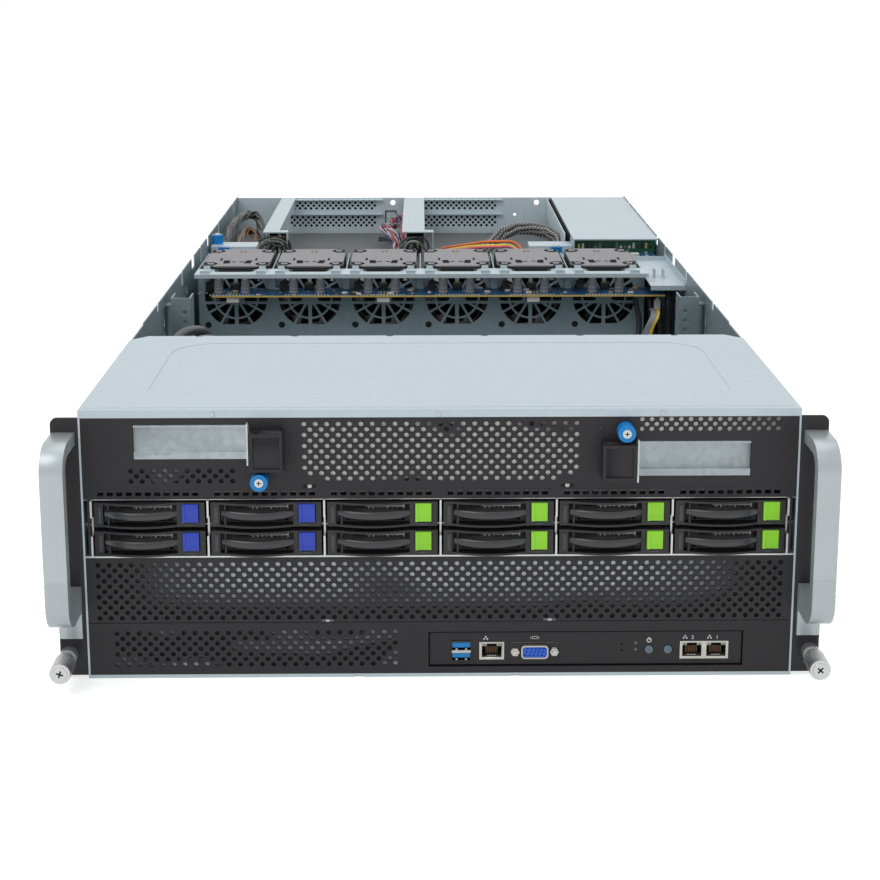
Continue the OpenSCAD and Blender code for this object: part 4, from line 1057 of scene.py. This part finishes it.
class SERVER_OT_trays(bpy.types.Operator):
    """Drive trays with their latches, levers, lamps and drive grilles"""
    bl_idname = "server.trays"
    bl_label = "Drive trays"

    def execute(self, context):
        edge = context.scene.server_sizes.edge
        for number, (tray, lever) in enumerate(zip(TRAYS, LEVERS)):
            latch = "latch_a" if number < 4 else "latch_b"
            dress(tray, "plastic", self.paint_for(tray, latch), edge)
            self.lever_bar(tray, lever)
            self.details(tray, latch)
        return {"FINISHED"}

    def lever_bar(self, tray, lever):
        """A bowed lever that tapers to both ends."""
        right, floor = self.corner(tray)
        left, z = right - 69, floor + 8.6
        count = 9
        route, taper = [], []
        for k in range(count):
            share = k / (count - 1)
            bow = 4 * share * (1 - share)
            route.append((left + 7.2 + 44.6 * share, 0.9 - 6.3 * bow, z))
            taper.append(0.74 + 0.26 * min(1.0, bow * 2.2))
        bar = tapered_bar(f"{lever}_bar", route, 1.8, taper, 1.6, "gloss",
                          lever)
        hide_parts(lever)

    @staticmethod
    def corner(tray):
        """The lower right front corner of a tray's bezel, in millimetres."""
        lo, hi = (in_mm(point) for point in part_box(tray))
        return hi.x, lo.z + 0.5

    def paint_for(self, tray, latch):
        right, floor = self.corner(tray)

        def paint(face, island):
            lo, hi = face
            if (right - 13.95 < lo.x and hi.x < right - 3.85 and hi.y < 5.05
                    and lo.z > floor + 3.35):
                return latch
            inner = lo.y > 13.5 and floor + 2.9 < lo.z and hi.z < floor + 13.1
            return "bright" if inner else None
        return paint

    def details(self, tray, latch):
        right, floor = self.corner(tray)
        left = right - 69
        made = Builder()
        made.block((left + 23.8, left + 48.3), (2.4, 3.0), (floor + 12.1, floor + 12.8),
                   "lattice", 0.05)
        for x in (25.6, 28.4, 37.2, 47.4):
            made.block((left + x, left + x + 0.8), (2.3, 3.0), (floor + 11.0, floor + 14.0),
                       "lattice", 0.05)
        for x in (31.5, 34.2, 40.6, 43.4):
            made.block((left + x, left + x + 0.5), (2.4, 3.0), (floor + 11.4, floor + 13.4),
                       "lattice", 0.05)
        for k in range(7):
            x = left + 14 + k * 5.2
            made.block((x, x + 0.4), (2.6, 3.0), (floor + 2.2, floor + 4.2), "gloss", 0.05)
        made.block((left + 2.2, left + 4.6), (-0.5, 1), (floor + 2.4, floor + 13.6), "gloss", 0.4)
        made.block((right - 12.6, right - 6.4), (-0.4, 0.6), (floor + 0.9, floor + 2.1),
                   "gloss", 0.2)
        for z in (5.4, 12.8):
            made.block((right - 13.7, right - 4.1), (-1.55, -1.2), (floor + z, floor + z + 0.4),
                       latch, 0.1)
        made.piece(f"{tray}_details", tray, "tray_plastic")


class SERVER_OT_fans(bpy.types.Operator):
    """Fan modules with their rivets and guards, rotors and the board in front of them"""
    bl_idname = "server.fans"
    bl_label = "Fans"

    def execute(self, context):
        for fan, rotor in zip(FANS, ROTORS):
            repaint(fan, "dark", self.fan_paint)
            repaint(rotor, "dark")
            self.rivets(fan)
        repaint("fan_board", "board", self.board_paint)
        self.board_parts()
        return {"FINISHED"}

    @staticmethod
    def fan_paint(place, normal):
        return "plate" if place.z > 173.01 else None

    @staticmethod
    def board_paint(place, normal):
        if place.z < 152.7:
            return "white"
        if place.z > 154.5:
            return "dark" if place.y > 461 else "can"
        return "gold" if normal.y < -0.9 else None

    @staticmethod
    def rivets(fan):
        lo, hi = (in_mm(point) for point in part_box(fan))
        x0, front, top = (lo.x + hi.x) / 2, lo.y + 5, hi.z
        made = Builder()
        for sx in (-1, 1):
            for y in (6, 69):
                place = (x0 + sx * 23.5, front + y, top)
                made.rod((place[0], place[1], top - 0.05), (0, 0, 0.2), 6.3, "gap", 32)
                made.rod((place[0], place[1], top + 0.1), (0, 0, 0.5), 3.1, "rivet", 28, 2.7)
                made.rod((place[0], place[1], top + 0.5), (0, 0, 0.2), 1.5, "dark", 20)
            made.block((x0 + sx * 10 - 2.8, x0 + sx * 10 + 2.8), (front + 8, front + 22),
                       (top - 0.3, top + 0.12), "gap",
                       turn=Matrix.Rotation(math.radians(-4 * sx), 4, "Z"))
            made.block((x0 + sx * 3.6 - 1.8, x0 + sx * 3.6 + 1.8), (front + 14, front + 17),
                       (top - 0.3, top + 0.12), "gap")
        for k in range(5):
            angle = math.radians(36 * k - 72)
            x, z = 24 * math.sin(angle), 24 * math.cos(angle)
            made.rod((x0, front + 1.2, 143), (x, 0, z), 0.7, "dark", 10)
        made.rod((x0, front + 0.6, 143), (0, 1.4, 0), 9, "dark", 36)
        made.rod((x0, front + 66, top - 0.35), (0, 0, 0.5), 3.2, "dark", 24)
        made.rod((x0, front + 66, top - 0.1), (0, 0, 0.4), 1.5, "gold", 16)
        made.piece(f"{fan}_fittings", fan, "fan_frame")

    @staticmethod
    def board_parts():
        """Capacitor tops, chips and plugs on the fan board."""
        rng = random.Random(11)
        deck = 154.4
        made = Builder()
        for n in range(6):
            x0 = -180 + n * 67
            for dx in (-13, 11):
                can = (x0 + dx, 453)
                made.rod((*can, deck + 1.0), (0, 0, 0.9), 4.22, "can_band", 32, 4.22)
                made.rod((*can, deck + 12.7), (0, 0, 0.5), 3.6, "screw", 32, 3.5)
                made.rod((*can, deck + 4.5), (0, 0, 0.5), 4.18, "can_band", 32, 4.18)
            for k in range(16):
                x = x0 + rng.uniform(-31, 31)
                y = rng.uniform(443, 471)
                if min(abs(x - x0 + 13), abs(x - x0 - 11)) < 6 and abs(y - 453) < 6:
                    continue
                w, d, h = rng.choice(((1.6, 0.8, 0.5), (3.2, 1.6, 0.7), (5, 4, 1.2), (1, 2, 0.5)))
                name = rng.choice(("white", "white", "dark", "can", "gold"))
                made.block((x, x + w), (y, y + d), (deck, deck + h), name, 0.08)
            for k in range(14):
                x = x0 - 20 + k * 2.9
                made.block((x, x + 1.5), (441.6, 442.4), (deck, deck + 0.6), "white", 0.08)
            made.block((x0 - 4, x0 + 4), (463, 470), (deck, deck + 6), "dark", 0.2)
            for k in range(4):
                made.rod((x0 - 2.7 + 1.8 * k, 466, deck + 5.8), (0, 0, 1.2), 0.3, "gold", 8)
        for n in (0, 2, 4):
            x0 = -180 + n * 67
            for k in range(4):
                x = x0 - 3.4 + k * 2.4
                made.rod((x, 445.5, deck), (0, 0, 2.6), 0.35, "gold", 8)
                made.rod((x, 444.6, 147.8), (0, 0, -2.0), 0.45, "screw", 8)
        made.piece("fan_board_parts", slot="circuit_board")


class SERVER_OT_rear_parts(bpy.types.Operator):
    """Power supplies, mainboard, baffle and card supports"""
    bl_idname = "server.rear_parts"
    bl_label = "Rear parts"

    def execute(self, context):
        repaint("psu_cage", "cover", self.cage_paint)
        repaint("card_supports", "cover", self.support_paint)
        for supply in ("psu_1", "psu_2"):
            repaint(supply, "bright", self.supply_paint)
        repaint("mainboard", "green_board", self.mainboard_paint)
        repaint("air_baffle", "baffle")
        self.supply_boards()
        self.rear_shade_sheets()
        self.shade_sheets_inside()
        self.beam_plugs()
        return {"FINISHED"}

    @staticmethod
    def cage_paint(place, normal):
        if place.y < 614.05 and 140 < place.x and 86 < place.z < 174.5:
            if 159.9 < place.z < 161.7 and place.y < 612:
                return "board"
            return "white" if place.y < 580 and place.z > 161.5 else "green_board"
        return None

    @staticmethod
    def support_paint(place, normal):
        return "knob" if any(math.hypot(place.x - x, place.y - y) < 5.6 and place.z > low
                             for x, y, low in KNOBS) else None

    @staticmethod
    def supply_paint(place, normal):
        return "dark" if place.y > 880.02 or place.y > 864 and place.x > 187 else None

    @staticmethod
    def mainboard_paint(place, normal):
        if place.z < 8:
            return "screw"
        if place.z < 9.7:
            return None
        return "bright" if place.y < 671 and (place.x < -84 or -6 < place.x < 66) else "dark"

    @staticmethod
    def supply_boards():
        rng = random.Random(5)
        made = Builder()
        for k in range(18):
            x = 144 + k * 4.2
            made.block((x, x + 2.2), (611.2, 612.1), (165, 165 + rng.uniform(2, 6)),
                       rng.choice(("white", "dark", "gold", "can")), 0.08)
        for k in range(8):
            made.rod((180 + k * 4.4, 570, 161.6), (0, 0, 0.5), 0.9, "screw", 14)
        for k in range(14):
            x, y = rng.uniform(142, 212), rng.uniform(580, 606)
            made.block((x, x + 3), (y, y + 2), (161.6, 162.4), rng.choice(("dark", "white")), 0.1)
        made.piece("supply_board_parts", slot="circuit_board")

    @staticmethod
    def rear_shade_sheets():
        made = Builder()
        # painted shade: dark sheets behind the rear perforations so the holes show dark; behind
        # the square hole a pale plate framed dark
        for x in ((-164, -62), (-12, 78)):
            for z in ((158.9, 175.4), (138.9, 155.4)):
                made.block(x, REAR_SHADE_DEPTH, z, "shade_sheet")
        made.block((-53, -40), REAR_SHADE_DEPTH, (141, 161), "pale")
        for x, z in (((-53, -52), (141, 161)), ((-41, -40), (141, 161)), ((-53, -40), (160, 161)),
                     ((-53, -40), (141, 142))):
            made.block(x, (878.2, 878.8), z, "dark")
        made.piece("rear_slot_shade_sheets", slot="galvanised_sheet")

    @staticmethod
    def shade_sheets_inside():
        """Black sheet of painted shade in the gap beside the fan wall, and the dark channel beside
        the supplies: a dark sheet of painted shade with a pale strip beside it.
        """
        made = Builder()
        made.block((192.5, 220.4), (556, 557), (3, 162), "dark", 0.2)
        made.block((136.6, 138.9), (640, 878), (150, 174), "shade_sheet", 0.2)
        made.block((133.2, 134.2), (640, 878), (150, 175.2), "pale", 0.2)
        made.piece("shade_sheets_inside", slot="baffle_plastic")

    @staticmethod
    def beam_plugs():
        """Plugs and short wires below the front ends of the card beams."""
        rng = random.Random(23)
        made = Builder()
        for x in (-167, -26):
            # painted shade: a dark sheet behind the plugs under the beam's end
            made.block((x, x + 17), (667, 668), (150, 173), "shade_sheet", 0.2)
            for k in range(9):
                px, py = x + rng.uniform(0, 13), rng.uniform(650, 662)
                pz = rng.uniform(152, 162)
                made.block((px, px + 4), (py, py + 4), (pz, pz + 8),
                           rng.choice(("dark", "can", "white", "dark")), 0.3)
            made.rod((x + 5, 653, 152), (0, 0, 15), 3.0, "can", 24)
            made.rod((x + 13, 655, 152), (0, 0, 12), 2.6, "dark", 24)
        made.piece("beam_plugs", slot="circuit_board")
        for k, name in enumerate(("cable_dark", "cable_pale", "cable_green")):
            routes = []
            for x in (-167, -26):
                for _ in range(5 if k == 0 else 2):
                    a, b = x + rng.uniform(-10, 4), x + rng.uniform(6, 22)
                    y, z = rng.uniform(641, 652), rng.uniform(162, 171)
                    routes.append([(a, y, 150), (a + 1, y - 2, z - 4), ((a + b) / 2, y, z),
                                   (b, y + 3, z - 5), (b + 1, y + 4, 150)])
            cable(f"beam_wires_{k + 1}", routes, 0.9, name)


class SERVER_OT_wiring(bpy.types.Operator):
    """Cables and bundles inside the chassis"""
    bl_idname = "server.wiring"
    bl_label = "Wiring"

    def execute(self, context):
        loop = cable("loop_sleeves", [LOOP, SECOND_LOOP], 3.4, "braid")
        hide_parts("wiring")
        cable("loop_wires", twisted(LOOP, 5, 3.6, 2.0), 1.1, "cable_dark")
        cable("loop_amber", twisted(SECOND_LOOP, 3, 3.2, 1.5), 0.9, "cable_amber")
        for k, name in enumerate(("braid_black", "braid_white")):
            cable(f"supply_sleeves_{k + 1}", twisted(SUPPLY_BUNDLE, 3, 4.6, 0.5, k * 1.05),
                  1.9, name)
        cable("supply_wires_orange", [ORANGE], 1.4, "cable_orange")
        cable("supply_wires_yellow", [YELLOW], 1.4, "cable_yellow")
        cable("supply_wires_pink", [[(x, y - 3.4, z - 1) for x, y, z in YELLOW]], 1.2,
              "cable_pink")
        for k, name in enumerate(("cable_red", "cable_navy", "cable_white")):
            cable(f"sensor_wires_{k + 1}", loose(SENSOR, 6, 4.6, 40 + k)
                  + loose(SENSOR_BRANCH, 5, 4.2, 50 + k), 0.6, name)
        cable("front_cables", [GREY, GREY_SECOND], 3.9, "cable_grey")
        self.side_cables()
        return {"FINISHED"}

    @staticmethod
    def side_cables():
        """Black supply cables and a flat cable beside the fan wall."""
        uprights = [[(x, 462 + 2 * (k % 2), 4 + 3 * k), (x - 2, 458, 60), (x + 2, 464, 110),
                     (x - 1 + k, 468, 150), (x + 2, 480, 158)]
                    for k, x in enumerate((197, 204, 211))]
        uprights.append([(186, 452, 60), (182, 450, 100), (185, 454, 125), (181, 456, 148)])
        cable("side_cables", uprights, 2.6, "cable_dark")
        flat = [[(184 + k * 1.3, 432, 100), (187 + k * 1.3, 431, 124),
                 (193 + k * 1.3, 434, 137), (194 + k * 1.3, 448, 140)] for k in range(4)]
        cable("flat_cable", flat, 0.75, "cable_pale")
        cable("flat_cable_mark", [[(x + d, y, z) for x, y, z in flat[-1]] for d in (1.5, 2.8)],
              0.75, "cable_yellow")
        made = Builder()
        made.block((198, 203.5), (452, 456), (138, 147), "white", 0.3)
        made.block((199, 202.5), (451.4, 452.2), (146, 149.5), "white", 0.2)
        made.piece("side_plug", slot="cable_jacket")


class SERVER_PT_panel(bpy.types.Panel):
    """Sidebar panel that lists the server's operators"""
    bl_idname = "SERVER_PT_panel"
    bl_label = "Rack server"
    bl_space_type = "VIEW_3D"
    bl_region_type = "UI"
    bl_category = "Server"

    def draw(self, context):
        for operator in OPERATORS:
            self.layout.operator(operator.bl_idname)


OPERATORS = (SERVER_OT_stage, SERVER_OT_sheet_metal, SERVER_OT_fasteners,
             SERVER_OT_front_parts, SERVER_OT_trays, SERVER_OT_fans, SERVER_OT_rear_parts,
             SERVER_OT_wiring)
GROUPS = (ServerFinishes, ServerSizes, ServerStage)


def register():
    for kind in (*GROUPS, *OPERATORS, SERVER_PT_panel):
        bpy.utils.register_class(kind)
    bpy.types.Scene.server_finishes = PointerProperty(type=ServerFinishes)
    bpy.types.Scene.server_sizes = PointerProperty(type=ServerSizes)
    bpy.types.Scene.server_stage = PointerProperty(type=ServerStage)


def unregister():
    del bpy.types.Scene.server_stage
    del bpy.types.Scene.server_sizes
    del bpy.types.Scene.server_finishes
    for kind in (SERVER_PT_panel, *reversed(OPERATORS), *reversed(GROUPS)):
        bpy.utils.unregister_class(kind)


def main():
    register()
    for operator in OPERATORS:
        group, name = operator.bl_idname.split(".")
        getattr(getattr(bpy.ops, group), name)()


if __name__ == "__main__":
    main()
